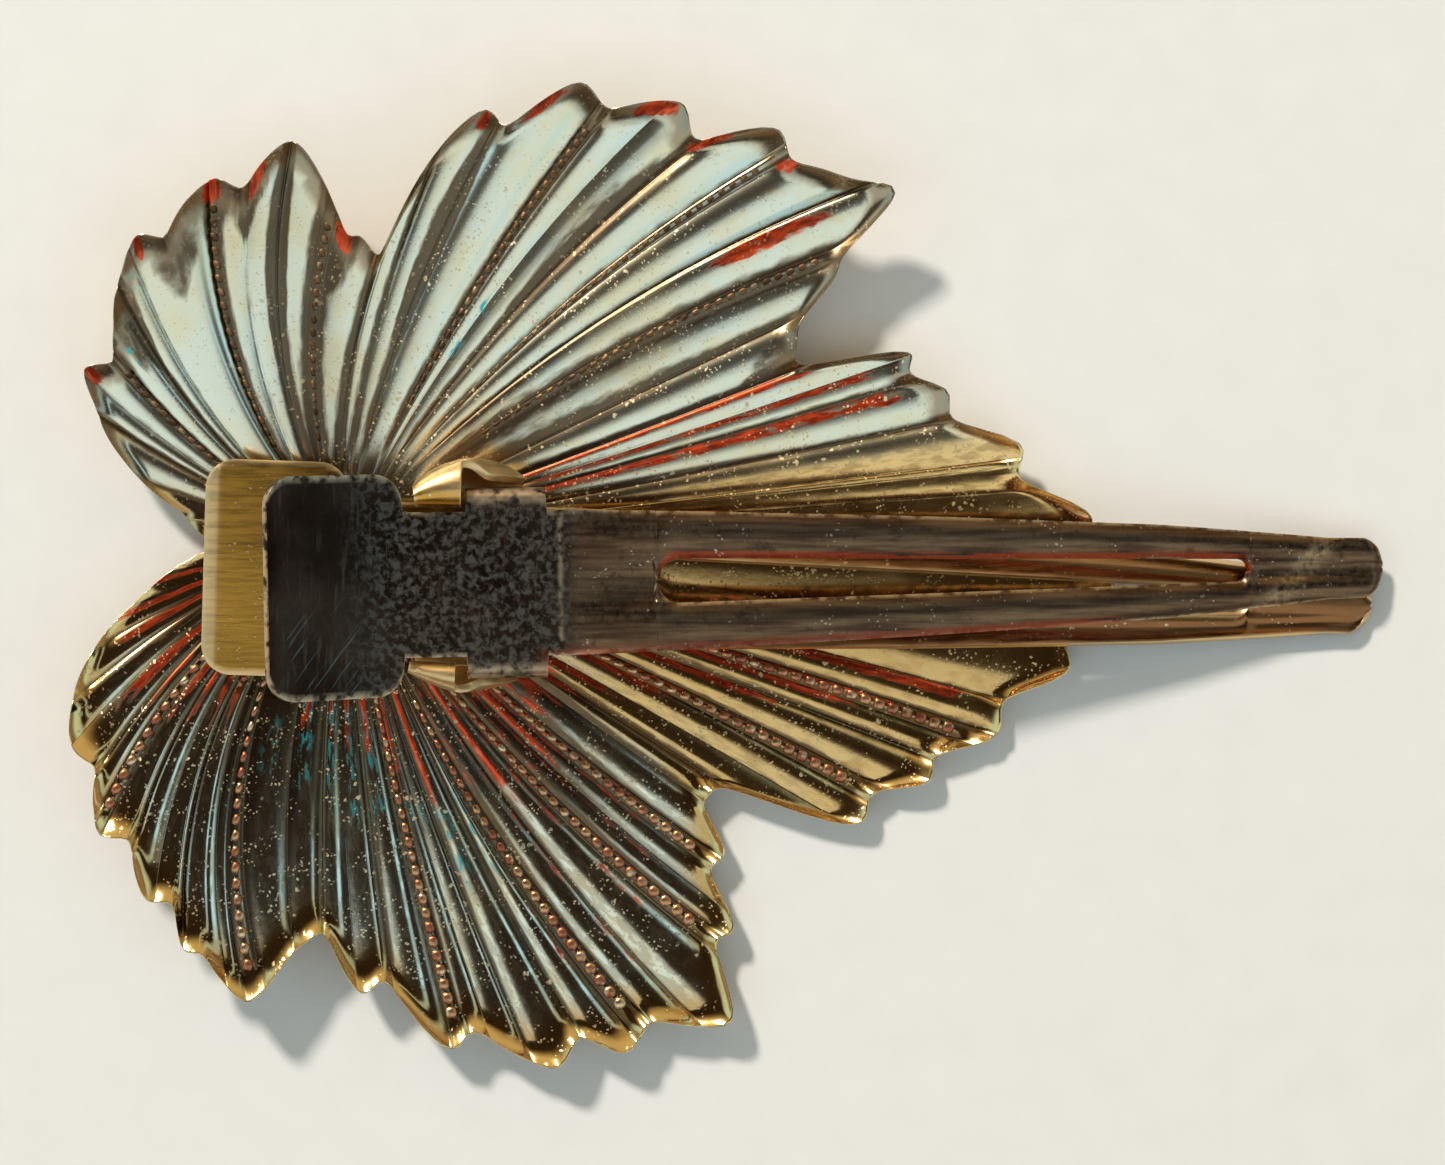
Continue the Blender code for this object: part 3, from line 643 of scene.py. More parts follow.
def spring_material():
    """Blued-grey spring steel with drawn lines along the strip."""
    made, n = new_material("spring_steel")
    place = n.position()
    drawn = n.noise(n.stretch(place, (200.0, 4200.0, 200.0)), 1.0, 3.0)
    cloud = n.noise(place, 240.0, 4.0)
    colour = n.mix(n.step(cloud, 0.4, 0.68), STEEL, STEEL_BROWN)
    n.metal(colour, n.step(drawn, 0.3, 0.7, 0.2, 0.38), n.bump(drawn, 0.18, 0.03 * MM))
    return made


def solder_material():
    """Dull grey solder with a frozen, wrinkled skin."""
    made, n = new_material("soft_solder")
    place = n.position()
    skin_noise = n.noise(place, 700.0, 4.0, 0.6)
    cloud = n.noise(place, 160.0, 3.0)
    colour = n.mix(n.step(cloud, 0.4, 0.65), SOLDER, SOLDER_DULL)
    n.metal(colour, n.step(skin_noise, 0.3, 0.7, 0.3, 0.55), n.bump(skin_noise, 0.4, 0.1 * MM))
    return made


# ---- leaf ----

def seat_line(x):
    """Y of the lower lever's centre line, in millimetres."""
    return SEAT_Y + (x - SEAT_HINGE_X) * math.tan(LOWER_YAW)


def bead_strip(angle):
    """Half the width, in millimetres at the rim, of the strip that carries a row of beads."""
    return UPPER_BEAD_STRIP if angle > UPPER_SIDE else BEAD_STRIP


def rim_radius(angle):
    """Rim radius, in millimetres, at one angle."""
    return float(rounded_rim(np.array([float(angle)]))[0])


def leaf_grid():
    """Sample angles round the leaf, and every groove line in order, closed round the circle."""
    grooves = []
    for angle, turn, depth, beaded in GROOVES:
        if beaded:
            half = math.degrees(bead_strip(angle) / rim_radius(angle))
            grooves += [(angle - half, turn, depth), (angle + half, turn, depth)]
        else:
            grooves.append((angle, turn, depth))
    grooves.sort()
    grooves = grooves + [(grooves[0][0] + 360.0,) + grooves[0][1:]]
    angles = []
    for (start, _, _), (end, _, _) in zip(grooves, grooves[1:]):
        count = max(8, math.ceil((end - start) / COLUMN_STEP))
        shares = [0.5 - 0.5 * math.cos(math.pi * k / count) for k in range(count)]
        angles += [start + (end - start) * share for share in shares]
    angles += [angle for angle, _ in RIM[1:-1]]
    angles = sorted(angle if angle <= 180.0 else angle - 360.0 for angle in angles)
    kept = [angles[0]]
    for angle in angles[1:]:
        if angle - kept[-1] > COLUMN_GAP:
            kept.append(angle)
    return np.array(kept), grooves


def rounded_rim(angles):
    """Rim radius in millimetres: the teeth bulge between their points and have rounded tips."""
    corners = np.array(RIM, dtype=float)
    fine = np.arange(-180.0, 180.0, RIM_STEP)

    def smooth(values):
        offsets = np.arange(-TIP_ROUNDING * 4, TIP_ROUNDING * 4 + RIM_STEP, RIM_STEP)
        weights = np.exp(-0.5 * (offsets / TIP_ROUNDING) ** 2)
        weights /= weights.sum()
        half = len(weights) // 2
        padded = np.concatenate([values[-half:], values, values[:half]])
        return np.convolve(padded, weights, "valid")[:len(values)]

    index = np.clip(np.searchsorted(corners[:, 0], fine, side="right") - 1, 0, len(corners) - 2)
    start = corners[index]
    end = corners[index + 1]
    share = (fine - start[:, 0]) / (end[:, 0] - start[:, 0])
    length = np.radians(end[:, 0] - start[:, 0]) * start[:, 1]
    straight = start[:, 1] + (end[:, 1] - start[:, 1]) * share
    first = smooth(straight + TOOTH_BULGE * np.minimum(length, 6.0) * 4.0 * share * (1.0 - share))
    missing = corners[:, 1] - np.interp(corners[:, 0], fine, first)
    final = first + smooth(np.interp(fine, corners[:, 0], missing))
    return np.interp(angles, fine, final)


def leaf_fields(angles, grooves, reach):
    """The leaf's back face, in millimetres, with where each point lies across its flute and from the rim."""
    starts = np.array([groove[0] for groove in grooves])
    turns = np.array([groove[1] for groove in grooves], dtype=float)
    depths = np.array([groove[2] for groove in grooves])
    wrapped = np.where(angles < starts[0], angles + 360.0, angles)
    index = np.clip(np.searchsorted(starts, wrapped, side="right") - 1, 0, len(starts) - 2)
    width = starts[index + 1] - starts[index]
    share = (wrapped - starts[index]) / width
    turn = np.interp(wrapped, starts, turns)
    depth = depths[index] * (1.0 - share) + depths[index + 1] * share
    radius = rounded_rim(angles)
    out = radius[None, :] * reach[:, None]
    bearing = np.radians(angles[None, :] + turn[None, :] * (1.0 - reach[:, None]))
    x = VEIN_ORIGIN.x + out * np.cos(bearing)
    y = VEIN_ORIGIN.y + out * np.sin(bearing)
    across = (y - BOWL_LOW.y) ** 2 / (2.0 * BOWL_RADIUS)
    behind = TAIL_RISE * ease(0.0, TAIL_LENGTH, BOWL_LOW.x - x)
    stem = np.exp(-((y - STEM_FLAT_Y) / STEM_FLAT_HALF) ** 2)
    slope = FRONT_SLOPE * np.maximum(x - BOWL_LOW.x, 0.0)
    z = BOWL_FLOOR + np.hypot(across, behind * (1.0 - 0.7 * stem)) - slope
    span = np.radians(width)[None, :] * out
    phase = (2.0 * share - 1.0)[None, :] + 0.0 * out
    rise = np.minimum(FLUTE_RISE * span, FLUTE_LIMIT) * depth[None, :]
    flute = rise * (1.0 - np.abs(phase) ** FLUTE_POWER) - 0.55 * rise
    seat = 1.0 - 0.9 * np.exp(-((y - seat_line(x)) / SEAT_HALF) ** 2)
    fade = ease(0.06, 0.3, reach)[:, None]
    z = z + flute * seat * fade
    from_rim = radius[None, :] * (1.0 - reach[:, None])
    z = z + LIP_RISE * np.clip(1.0 - from_rim / LIP_WIDTH, 0.0, 1.0) ** 2 * seat
    line = np.clip(1.0 - (1.0 - np.abs(phase)) * 0.5 * span / LINE_WIDTH, 0.0, 1.0)
    groove = line * np.minimum(depth[None, :], GROOVE_LIMIT) * fade
    fields = {"x": x, "y": y, "z": z, "groove": groove, "seat": seat, "phase": phase, "out": out}
    fields["rim"] = from_rim
    fields["angle"] = np.degrees(bearing)
    fields["column"] = angles[None, :] + 0.0 * out
    fields["fan"] = (index + share)[None, :] + 0.0 * out
    return fields


def oval_marks(across, along, marks):
    """One inside soft oval marks, each given by its middle and half size both ways."""
    total = 0.0 * along
    for middle, half, centre, length in marks:
        distance = np.hypot((across - middle) / half, (along - centre) / length)
        total = np.maximum(total, ease(1.25, 0.55, distance))
    return total


def red_reflection(f, share, below):
    """Painted red reflections: under the clip, along the flutes of the lower lobes, and on the rim of the
    upper ones.
    """
    x, phase, angle, column = f["x"], f["phase"], f["angle"], f["column"]
    # A fixed, random-looking number for each flute.
    chance = np.modf(np.abs(np.sin(12.9898 * np.floor(f["fan"]))) * 437.585)[0]
    # Below the clip the red paints the clip's own reflection into the lower lobes' flutes.
    beside = band(below, 2.0, 7.5 + 5.0 * ease(-30.0, -20.0, x), 7.0) * band(x, -40.0, -14.0, 5.0)
    beside = beside * band(phase, -0.65, -0.05, 0.22) * (0.5 + 0.5 * ease(0.25, 0.6, chance))
    along = band(below, 2.0, 7.0, 2.5) * band(x, -16.0, 14.0, 5.0) * band(phase, 0.35, 0.85, 0.2)
    long_streak = band(angle, -62.0, -40.0, 6.0) * band(share, 0.2, 0.8, 0.15) * band(phase, 0.5, 0.7, 0.15)
    right = band(angle, 13.0, 22.0, 1.5) * band(share, 0.35, 0.9, 0.1) * band(phase, 0.35, 0.9, 0.2)
    marks = oval_marks(column, share, RED_REFLECTION_MARKS)
    rim_marks = [(at, half, RIM_TINT_AT, RIM_TINT_HALF) for at, half in RIM_RED_REFLECTIONS]
    tips = oval_marks(column, f["rim"], rim_marks)
    return np.clip(beside + along + 0.75 * long_streak + 1.1 * marks + 0.9 * right + 1.1 * tips, 0.0, 1.0)


def tarnish(f, reach):
    """Painted red reflections, blue-green oxide tints, yellow gold with painted glints on the lower rims,
    dust, painted shade and brown marks for the lacquer, and painted dark reflections on the lower lobes, at
    each point.
    """
    x, y, angle, column = f["x"], f["y"], f["angle"], f["column"]
    share = reach[:, None] + 0.0 * x
    below = seat_line(x) - y
    seated = 1.0 - f["seat"]
    lower_side = ease(2.0, -6.0, y)
    right_lobe = band(angle, -32.0, 22.0, 5.0) * ease(0.25, 0.6, share)
    pool = band(share, 0.42, 0.6, 0.08) * band(f["phase"], -0.6, 0.1, 0.2) * band(angle, -108.0, -66.0, 4.0)
    tip_gold = 0.92 * band(angle, -34.0, 8.5, 2.5) * ease(0.25, 0.6, share)
    near_clip = ease(30.0, 6.0, np.hypot(x + 14.0, 0.8 * (y + 2.0)))
    # Painted shade over the inner lower lobes below the clip; the brown marks are added to it.
    shade_and_brown = ease(0.8, 0.5, share) * ease(1.0, 5.0, below) * band(angle, -190.0, -36.0, 4.0)
    return {
        "red": red_reflection(f, share, below),
        "teal": pool + TEAL_STRENGTH * oval_marks(column, share, TEAL_MARKS),
        # The first part paints gold glints along the lower lobes' rims.
        "gold": np.clip(ease(4.5, 1.5, f["rim"]) * lower_side + tip_gold + seated, 0.0, 1.0),
        "dust": np.clip(0.35 + near_clip + 0.5 * right_lobe + 0.4 * lower_side, 0.0, 1.0),
        "shade_and_brown": shade_and_brown + BROWN_STRENGTH * oval_marks(column, share, BROWN_MARKS),
        # Painted dark reflection over the lower lobes and under the lower lever; it also sets the roughness.
        "lower_shade": np.clip(lower_side * (1.0 - 0.5 * right_lobe) + seated, 0.0, 1.0),
    }


def add_attribute(mesh, name, kind, values):
    """One value or vector for each of the mesh's points, for its material to read."""
    layer = mesh.attributes.new(name, kind, "POINT")
    layer.data.foreach_set("vector" if kind == "FLOAT_VECTOR" else "value", values.ravel().astype(np.float32))


def leaf_piece(materials):
    """The leaf's sheet, both faces closed at the veins' meeting point and joined round the rim."""
    angles, grooves = leaf_grid()
    inner = np.linspace(0.04, 0.93, 44)
    outer = 1.0 - np.linspace(1.0, 0.0, 9)[1:] ** 1.3 * 0.06
    reach = np.concatenate([inner, outer])
    fields = leaf_fields(angles, grooves, reach)
    x, y, z = fields["x"], fields["y"], fields["z"]
    rings, count = x.shape
    down = np.array([0.0, 0.0, LEAF_SHEET])
    back = np.stack([x.ravel(), y.ravel(), z.ravel()], axis=1) * MM
    pole = np.array([[VEIN_ORIGIN.x, VEIN_ORIGIN.y, float(np.mean(z[0]))]]) * MM
    points = np.concatenate([back, back - down, pole, pole - down])
    half = rings * count
    last = half - count
    faces = []
    edges = []
    for j in range(count):
        k = (j + 1) % count
        faces.append((2 * half, j, k))
        faces.append((2 * half + 1, half + k, half + j))
        for a in range(0, last, count):
            b = a + count
            faces.append((a + j, b + j, b + k, a + k))
            faces.append((half + a + k, half + b + k, half + b + j, half + a + j))
        edges.append((last + j, half + last + j, half + last + k, last + k))
    mesh = bpy.data.meshes.new("leaf_blade")
    mesh.from_pydata([tuple(point) for point in points], [], faces + edges)
    mesh.polygons.foreach_set("use_smooth", [True] * len(faces) + [False] * len(edges))
    add_piece("leaf_blade", mesh, materials, "lower", "leaf")
    mesh.polygons.foreach_set("material_index", [0] * len(faces) + [1] * len(edges))
    fan = np.stack([fields["fan"].ravel(), fields["out"].ravel() / STREAK_LENGTH, 0.0 * z.ravel()], axis=1)
    add_attribute(mesh, "fan", "FLOAT_VECTOR", np.concatenate([fan, fan, np.zeros((2, 3))]))
    shade_width = RIM_SHADE + UPPER_RIM_SHADE * ease(8.0, 14.0, y)
    tints = tarnish(fields, reach)
    tints["groove"] = fields["groove"]
    tints["rim"] = np.clip(1.0 - fields["rim"] / shade_width, 0.0, 1.0)
    front = dict.fromkeys(tints, 0.0)
    front.update(gold=FRONT_POLISH, groove=tints["groove"].ravel(), rim=tints["rim"].ravel())
    for name, field in tints.items():
        values = [field.ravel(), front[name] + 0.0 * field.ravel(), [0.0, FRONT_POLISH]]
        add_attribute(mesh, name, "FLOAT", np.concatenate(values))


def bead_piece(materials):
    """Rows of pressed beads along the bottoms of the beaded grooves."""
    data = bmesh.new()
    grooves = leaf_grid()[1]
    for angle, _, depth, beaded in GROOVES:
        if not beaded:
            continue
        radius = rim_radius(angle)
        pitch = UPPER_BEAD_PITCH if angle > UPPER_SIDE else BEAD_PITCH
        count = int((BEADS_TO - BEADS_FROM) * radius / pitch)
        shares = BEADS_FROM + (BEADS_TO - BEADS_FROM) * (np.arange(count) + 0.5) / count
        f = leaf_fields(np.array([float(angle)]), grooves, shares)
        for index, share in enumerate(shares):
            if f["seat"][index, 0] < 0.35:
                continue
            size = (0.85 * bead_strip(angle) * share + 0.06) * min(depth, 1.0)
            centre = Vector((f["x"][index, 0], f["y"][index, 0], f["z"][index, 0] - BEAD_SINK)) * MM
            turned = Matrix.Rotation(math.radians(f["angle"][index, 0]), 4, "Z")
            height = BEAD_HEIGHT * min(depth, 1.0) * bead_strip(angle) / BEAD_STRIP
            shape = Matrix.Diagonal((BEAD_HALF_LENGTH * pitch * MM, size * MM, height * MM, 1.0))
            place = Matrix.Translation(centre) @ turned @ shape
            bead = bmesh.ops.create_icosphere(data, subdivisions=2, radius=1.0)["verts"]
            for vertex in bead:
                squared = [math.copysign(abs(value) ** BEAD_SQUARENESS, value) for value in vertex.co]
                vertex.co = place @ Vector(squared)
    add_piece("leaf_beads", smooth_mesh("leaf_beads", data), materials, "lower", "leaf")


# ---- levers ----

def follow(distance, bends):
    """Point and upward normal on a bent strip, a signed distance from the axis."""
    steps = max(1, math.ceil(abs(distance) / (0.1 * MM)))
    step = distance / steps
    away = math.copysign(1.0, distance)
    x = 0.0
    z = 0.0
    slope = 0.0
    for index in range(steps):
        middle = (index + 0.5) * step
        slope = 0.0
        for start, end, turn in bends:
            if start * away >= 0.0 and end * away > 0.0:
                slope += turn * min(max((middle - start) / (end - start), 0.0), 1.0)
        x += step * math.cos(slope)
        z += abs(step) * math.sin(slope)
    return Vector((x, 0.0, z)), Vector((-away * math.sin(slope), 0.0, math.cos(slope)))


def round_end(half, corner, inset):
    """Half width of a plate with rounded corners, a distance in from its end."""
    if inset >= corner:
        return half
    return half - corner + math.sqrt(max(corner ** 2 - (corner - inset) ** 2, 0.0))


def half_width(at, neck_back, fold, fold_start, fold_end, reach):
    """Half a lever's width: rounded tab, neck, fold line of the ears or claws, tapering prong, round nose."""
    if at < -neck_back:
        from_end = at + neck_back + TAB_LENGTH
        return round_end(TAB_HALF, TAB_CORNER, min(from_end, -neck_back - at))
    if fold_start <= at <= fold_end:
        return fold
    if at < CREASE_AT:
        return NECK_HALF
    prong = interpolate(PRONG_HALF, at / MM) * MM
    if at > reach - NOSE:
        prong = min(prong, NOSE * math.sqrt(max(1.0 - ((at - reach + NOSE) / NOSE) ** 2, 0.01)))
    return prong


def slot_half(at):
    """Half width of the slot, or None where the prong is whole."""
    if not SLOT_START <= at <= SLOT_END:
        return None
    share = (at - SLOT_START) / (SLOT_END - SLOT_START)
    half = SLOT_HALF_START + (SLOT_HALF_END - SLOT_HALF_START) * share
    return max(round_end(half, half, min(at - SLOT_START, SLOT_END - at)), 0.12 * half)


def arch_height(at, reach):
    """How far each rail is arched, fading towards the crease and the tip."""
    return float(RAIL_ARCH * ease(CREASE_AT, SLOT_START, at) * (1.0 - 0.7 * ease(SLOT_END, reach, at)))


def prong_row(at, half, reach, bends, upward):
    """Points across a lever, arched over each rail beside the slot."""
    inner = slot_half(at) or 0.25 * half
    centre, normal = follow(at, bends)
    middle = 0.5 * (half + inner)
    span = 0.5 * (half - inner)
    arch = upward * arch_height(at, reach)
    row = [(-(middle + span * share), 1.0 - share ** 2) for share in RAIL_SHARES]
    row.append((0.0, 0.0))
    row += [(middle + span * share, 1.0 - share ** 2) for share in RAIL_SHARES[::-1]]
    return [centre + normal * arch * lift + Vector((0.0, y, 0.0)) for y, lift in row]


def ear_points(at, side, base):
    """One folded-down ear of the upper lever, from its fold to its lower edge."""
    middle = 0.5 * (NECK_FRONT + EAR_END)
    share = abs(at - middle) / (EAR_END - middle)
    depth = EAR_DEPTH * (0.4 + 0.6 * math.sqrt(max(1.0 - share ** 2, 0.0)))
    points = []
    for degrees in (15, 30, 45, 60, 75, 90):
        turn = math.radians(degrees)
        out = EAR_FOLD + FOLD_RADIUS * math.sin(turn)
        points.append(Vector((base.x, side * out, base.z - FOLD_RADIUS * (1.0 - math.cos(turn)))))
    for part in (0.33, 0.66, 1.0):
        drop = FOLD_RADIUS + part * (depth - FOLD_RADIUS)
        points.append(Vector((base.x, side * (EAR_FOLD + FOLD_RADIUS), base.z - drop)))
    return points


def claw_points(at, side, _):
    """One claw of the lower lever, with its hook where the neck notch is."""
    middle = 0.5 * (CLAW_START + CLAW_END)
    share = (at - middle) / (CLAW_END - middle)
    bulge = (CLAW_BULGE + side * CLAW_UNEVEN) * max(1.0 - share ** 2, 0.0) ** 0.8
    has_hook = at <= HOOK_END
    crown = HINGE_RISE - 0.5 * MM
    top = crown if has_hook else crown * (0.35 + 0.65 * math.sqrt(max(1.0 - share ** 2, 0.0)))
    turn_in = HOOK_TURN_IN + (CLAW_TURN_IN - HOOK_TURN_IN) * float(ease(HOOK_END, CLAW_BLEND_END, at))
    wall = CLAW_FOLD + FOLD_RADIUS
    tuck = REAR_TUCK * float(ease(0.15, -1.0, share))
    points = []
    for degrees in (30, 60, 90):
        turn = math.radians(degrees)
        out = CLAW_FOLD + FOLD_RADIUS * math.sin(turn)
        points.append((out, FOLD_RADIUS * (1.0 - math.cos(turn))))
    for part in (0.18, 0.34, 0.5, 0.67, 0.84, 1.0):
        swell = bulge * math.sin(math.pi * turn_in * part) - tuck * part
        points.append((wall + swell, part * top))
    if has_hook:
        inner = NECK_HALF + RUNNING_GAP + 0.5 * SHEET - side * SIDE_PLAY
        out = wall + bulge * math.sin(math.pi * HOOK_TURN_IN) - tuck
        over = HINGE_RISE + HOOK_RISE
        half_span = 0.5 * (out - inner)
        outer_curve = [(0.03, 0.95), (0.14, 0.6), (0.34, 0.3), (0.62, 0.09), (0.95, 0.0)]
        inner_curve = [(0.62, 0.0), (0.28, 0.12), (0.07, 0.38), (0.0, 0.95)]
        points += [(out - inward * half_span, over - drop * MM) for inward, drop in outer_curve]
        points += [(inner + outward * half_span, over - drop * MM) for outward, drop in inner_curve]
    shaped = [Vector((at, side * y, z)) for y, z in points]
    return shaped + [None] * (CLAW_COLUMNS - len(shaped))


def stations(fold_start, fold_end, neck_back, reach):
    """Distances along a lever, closer together where its outline or bends turn."""
    tab_end = -neck_back - TAB_LENGTH
    corner = [0.5 * TAB_CORNER * (1.0 - math.cos(math.pi * k / 14)) for k in range(15)]
    places = [tab_end + inset for inset in corner]
    places += [-neck_back - inset for inset in corner[1:]] + [-neck_back - 0.005 * MM]
    places += list(np.linspace(tab_end + TAB_CORNER, -neck_back - TAB_CORNER, 10))
    places += list(np.linspace(-neck_back + 0.05 * MM, fold_start - 0.05 * MM, 6))
    places += [float(at) for at in np.linspace(fold_start, fold_end, 25)]
    places += list(np.linspace(fold_end + 0.05 * MM, SLOT_START - 0.1 * MM, 16))
    places += [CREASE_AT + step * 0.08 * MM for step in range(-5, 6)]
    round_start = [SLOT_HALF_START * (1.0 - math.cos(0.5 * math.pi * k / 10)) for k in range(11)]
    round_finish = [SLOT_HALF_END * (1.0 - math.cos(0.5 * math.pi * k / 8)) for k in range(9)]
    places += [SLOT_START + inset for inset in round_start]
    places += [SLOT_END - inset for inset in round_finish]
    places += list(np.linspace(SLOT_START + 2.2 * MM, SLOT_END - 1.6 * MM, 26))
    places += list(np.linspace(SLOT_END + 0.2 * MM, reach - NOSE, 10))
    places += [reach - NOSE * (1.0 - math.sin(0.5 * math.pi * k / 14)) for k in range(1, 15)]
    ordered = sorted(round(float(at), 7) for at in places)
    return [at for at, following in zip(ordered, ordered[1:] + [1.0]) if following - at > 1e-6]


def lever_mesh(name, rows, places, extra, copper_share, fold, rolled_at=-1.0):
    """Sheet through the rows, less its slot, with worn edges and painted highlights along its crease, folds
    and rolled lip.
    """
    data = bmesh.new()
    wear_and_sheen = data.verts.layers.float.new("wear_and_sheen")
    copper = data.verts.layers.float.new("copper")
    grid = [[data.verts.new(point) if point else None for point in row] for row in rows]
    columns = len(rows[0])
    slot_columns = (extra + len(RAIL_SHARES) - 1, extra + len(RAIL_SHARES))
    for i in range(len(rows) - 1):
        slotted = slot_half(places[i]) is not None and slot_half(places[i + 1]) is not None
        for j in range(columns - 1):
            corners = [grid[i][j], grid[i + 1][j], grid[i + 1][j + 1], grid[i][j + 1]]
            if None not in corners and not (slotted and j in slot_columns):
                data.faces.new(corners)
    loose = [vertex for vertex in data.verts if not vertex.link_faces]
    bmesh.ops.delete(data, geom=loose, context="VERTS")
    bmesh.ops.recalc_face_normals(data, faces=data.faces)
    for vertex in data.verts:
        # Edges are worn; the crease, the folds and the rolled lip carry painted highlights.
        crease = 0.6 * math.exp(-((vertex.co.x - CREASE_AT) / (0.16 * MM)) ** 2)
        folded = 0.85 * float(ease(fold - 0.5 * MM, fold, abs(vertex.co.y))) * (vertex.co.x > CLAW_START)
        rolled = 0.9 * float(ease(rolled_at, rolled_at - 0.4 * MM, vertex.co.x))
        vertex[wear_and_sheen] = 1.0 if vertex.is_boundary else max(crease, folded, rolled)
        vertex[copper] = copper_share(vertex.co)
    return smooth_mesh(name, data)


def finish_sheet(item, thickness, matrix, rounding=SHEET_ROUNDING):
    """Thicken, round the edges, and put the mesh in place with its object at the origin."""
    solid = item.modifiers.new("sheet", "SOLIDIFY")
    solid.thickness = thickness
    solid.offset = 0.0
    solid.use_even_offset = True
    bevel = item.modifiers.new("edge", "BEVEL")
    bevel.width = rounding
    bevel.segments = 2
    bevel.limit_method = "ANGLE"
    bevel.angle_limit = math.radians(50.0)
    item.data.transform(matrix)


def lever_matrices(pivot):
    """Places of the lower and the upper lever, and the angle that shuts the jaws."""
    lower = Matrix.Translation(pivot)
    lower = lower @ Matrix.Rotation(LOWER_YAW, 4, "Z")
    lower = lower @ Matrix.Rotation(LOWER_PITCH, 4, "Y")
    lower = lower @ Matrix.Rotation(ROLL, 4, "X")
    lower = lower @ Matrix.Translation((0.0, SIDE_PLAY, 0.0))
    drop = HINGE_RISE - SHEET - TIP_CLEARANCE
    closing = math.asin(drop / JAW_REACH) - CREASE * (JAW_REACH - CREASE_AT) / JAW_REACH
    upper = lower @ Matrix.Translation((0.0, -SIDE_PLAY, 0.0))
    upper = upper @ Matrix.Rotation(SKEW, 4, "Z") @ Matrix.Rotation(closing, 4, "Y")
    return lower, upper, closing


def upper_copper(point):
    """Copper tint on the far edge of the slot and on the near edge of the prong, in the lever's own frame."""
    x, y = point.x / MM, point.y / MM
    half = interpolate(PRONG_HALF, max(x, CREASE_AT / MM))
    edge = band(-y, half - 0.15, half + 1.0, 0.3) * band(x, 9.0, 45.0, 3.0)
    inner = (slot_half(point.x) or -1.0) / MM
    slot = band(y, inner - 0.3, inner + 0.25, 0.25)
    return float(np.clip(0.8 * edge + slot, 0.0, 1.0))


def lower_copper(point):
    """Copper tint over the jaw's near side, its far rail and its tip, in the lever's own frame."""
    x, y = point.x / MM, point.y / MM
    near_side = ease(0.9, 1.5, -y)
    far_rail = 0.9 * band(y, 1.0, 2.6, 0.4)
    tip = ease(48.0, 56.0, x)
    return float(ease(7.0, 10.0, x) * max(0.12, near_side, far_rail, tip))


def lever_rows(places, half_at, reach, bends, upward, sides):
    """Rows of points across a lever, with its ears or claws beside the neck."""
    start, end, columns, side_points = sides
    rows = []
    for at in places:
        row = prong_row(at, half_at(at), reach, bends, upward)
        left = [None] * columns
        right = [None] * columns
        if start - ROW_MARGIN <= at <= end + ROW_MARGIN:
            left = side_points(at, -1.0, row[0])[::-1]
            right = side_points(at, 1.0, row[-1])
        rows.append(left + row + right)
    return rows


def upper_lever(matrix, materials):
    """Tab bent up, notched neck with folded ears, creased and slotted prong with a turned-down nose."""
    reach = UPPER_REACH
    tab_end = -NECK_BACK - TAB_LENGTH
    bends = [
        (-NECK_BACK, -NECK_BACK - TAB_BEND_LENGTH, TAB_BEND),
        (tab_end + UPPER_LIP_LENGTH, tab_end, UPPER_LIP_BEND),
        (CREASE_AT - CREASE_HALF_LENGTH, CREASE_AT + CREASE_HALF_LENGTH, -CREASE),
        (reach - NOSE_BEND_LENGTH, reach, NOSE_BEND),
    ]
    places = stations(NECK_FRONT, EAR_END, NECK_BACK, reach)

    def half_at(at):
        return half_width(at, NECK_BACK, EAR_FOLD, NECK_FRONT, EAR_END, reach)

    rows = lever_rows(places, half_at, reach, bends, 1.0, (NECK_FRONT, EAR_END, EAR_COLUMNS, ear_points))
    mesh = lever_mesh("upper_lever_sheet", rows, places, EAR_COLUMNS, upper_copper, EAR_FOLD)
    item = add_piece("upper_lever_sheet", mesh, materials, "upper", "upper_lever")
    finish_sheet(item, SHEET, matrix)


def lower_lever(matrix, materials):
    """Tab with a rolled lip, neck with two hooked claws, slotted jaw."""
    tab_end = -LOWER_NECK_BACK - TAB_LENGTH
    bends = [(tab_end + LOWER_LIP_LENGTH, tab_end, LOWER_LIP_BEND)]
    hook_edge = [HOOK_END, HOOK_END + HOOK_CUT]
    places = sorted(stations(CLAW_START, CLAW_END, LOWER_NECK_BACK, JAW_REACH) + hook_edge)
    down = Vector((0.0, 0.0, -HINGE_RISE))

    def half_at(at):
        return half_width(at, LOWER_NECK_BACK, CLAW_FOLD, CLAW_START, CLAW_END, JAW_REACH)

    sides = (CLAW_START, CLAW_END, CLAW_COLUMNS, claw_points)
    rows = lever_rows(places, half_at, JAW_REACH, bends, -1.0, sides)
    rows = [[point + down if point else None for point in row] for row in rows]
    rolled_at = tab_end + ROLLED_LIP
    mesh = lever_mesh("lower_lever_sheet", rows, places, CLAW_COLUMNS, lower_copper, CLAW_FOLD, rolled_at)
    item = add_piece("lower_lever_sheet", mesh, materials, "lower", "lower_lever")
    finish_sheet(item, SHEET, matrix)


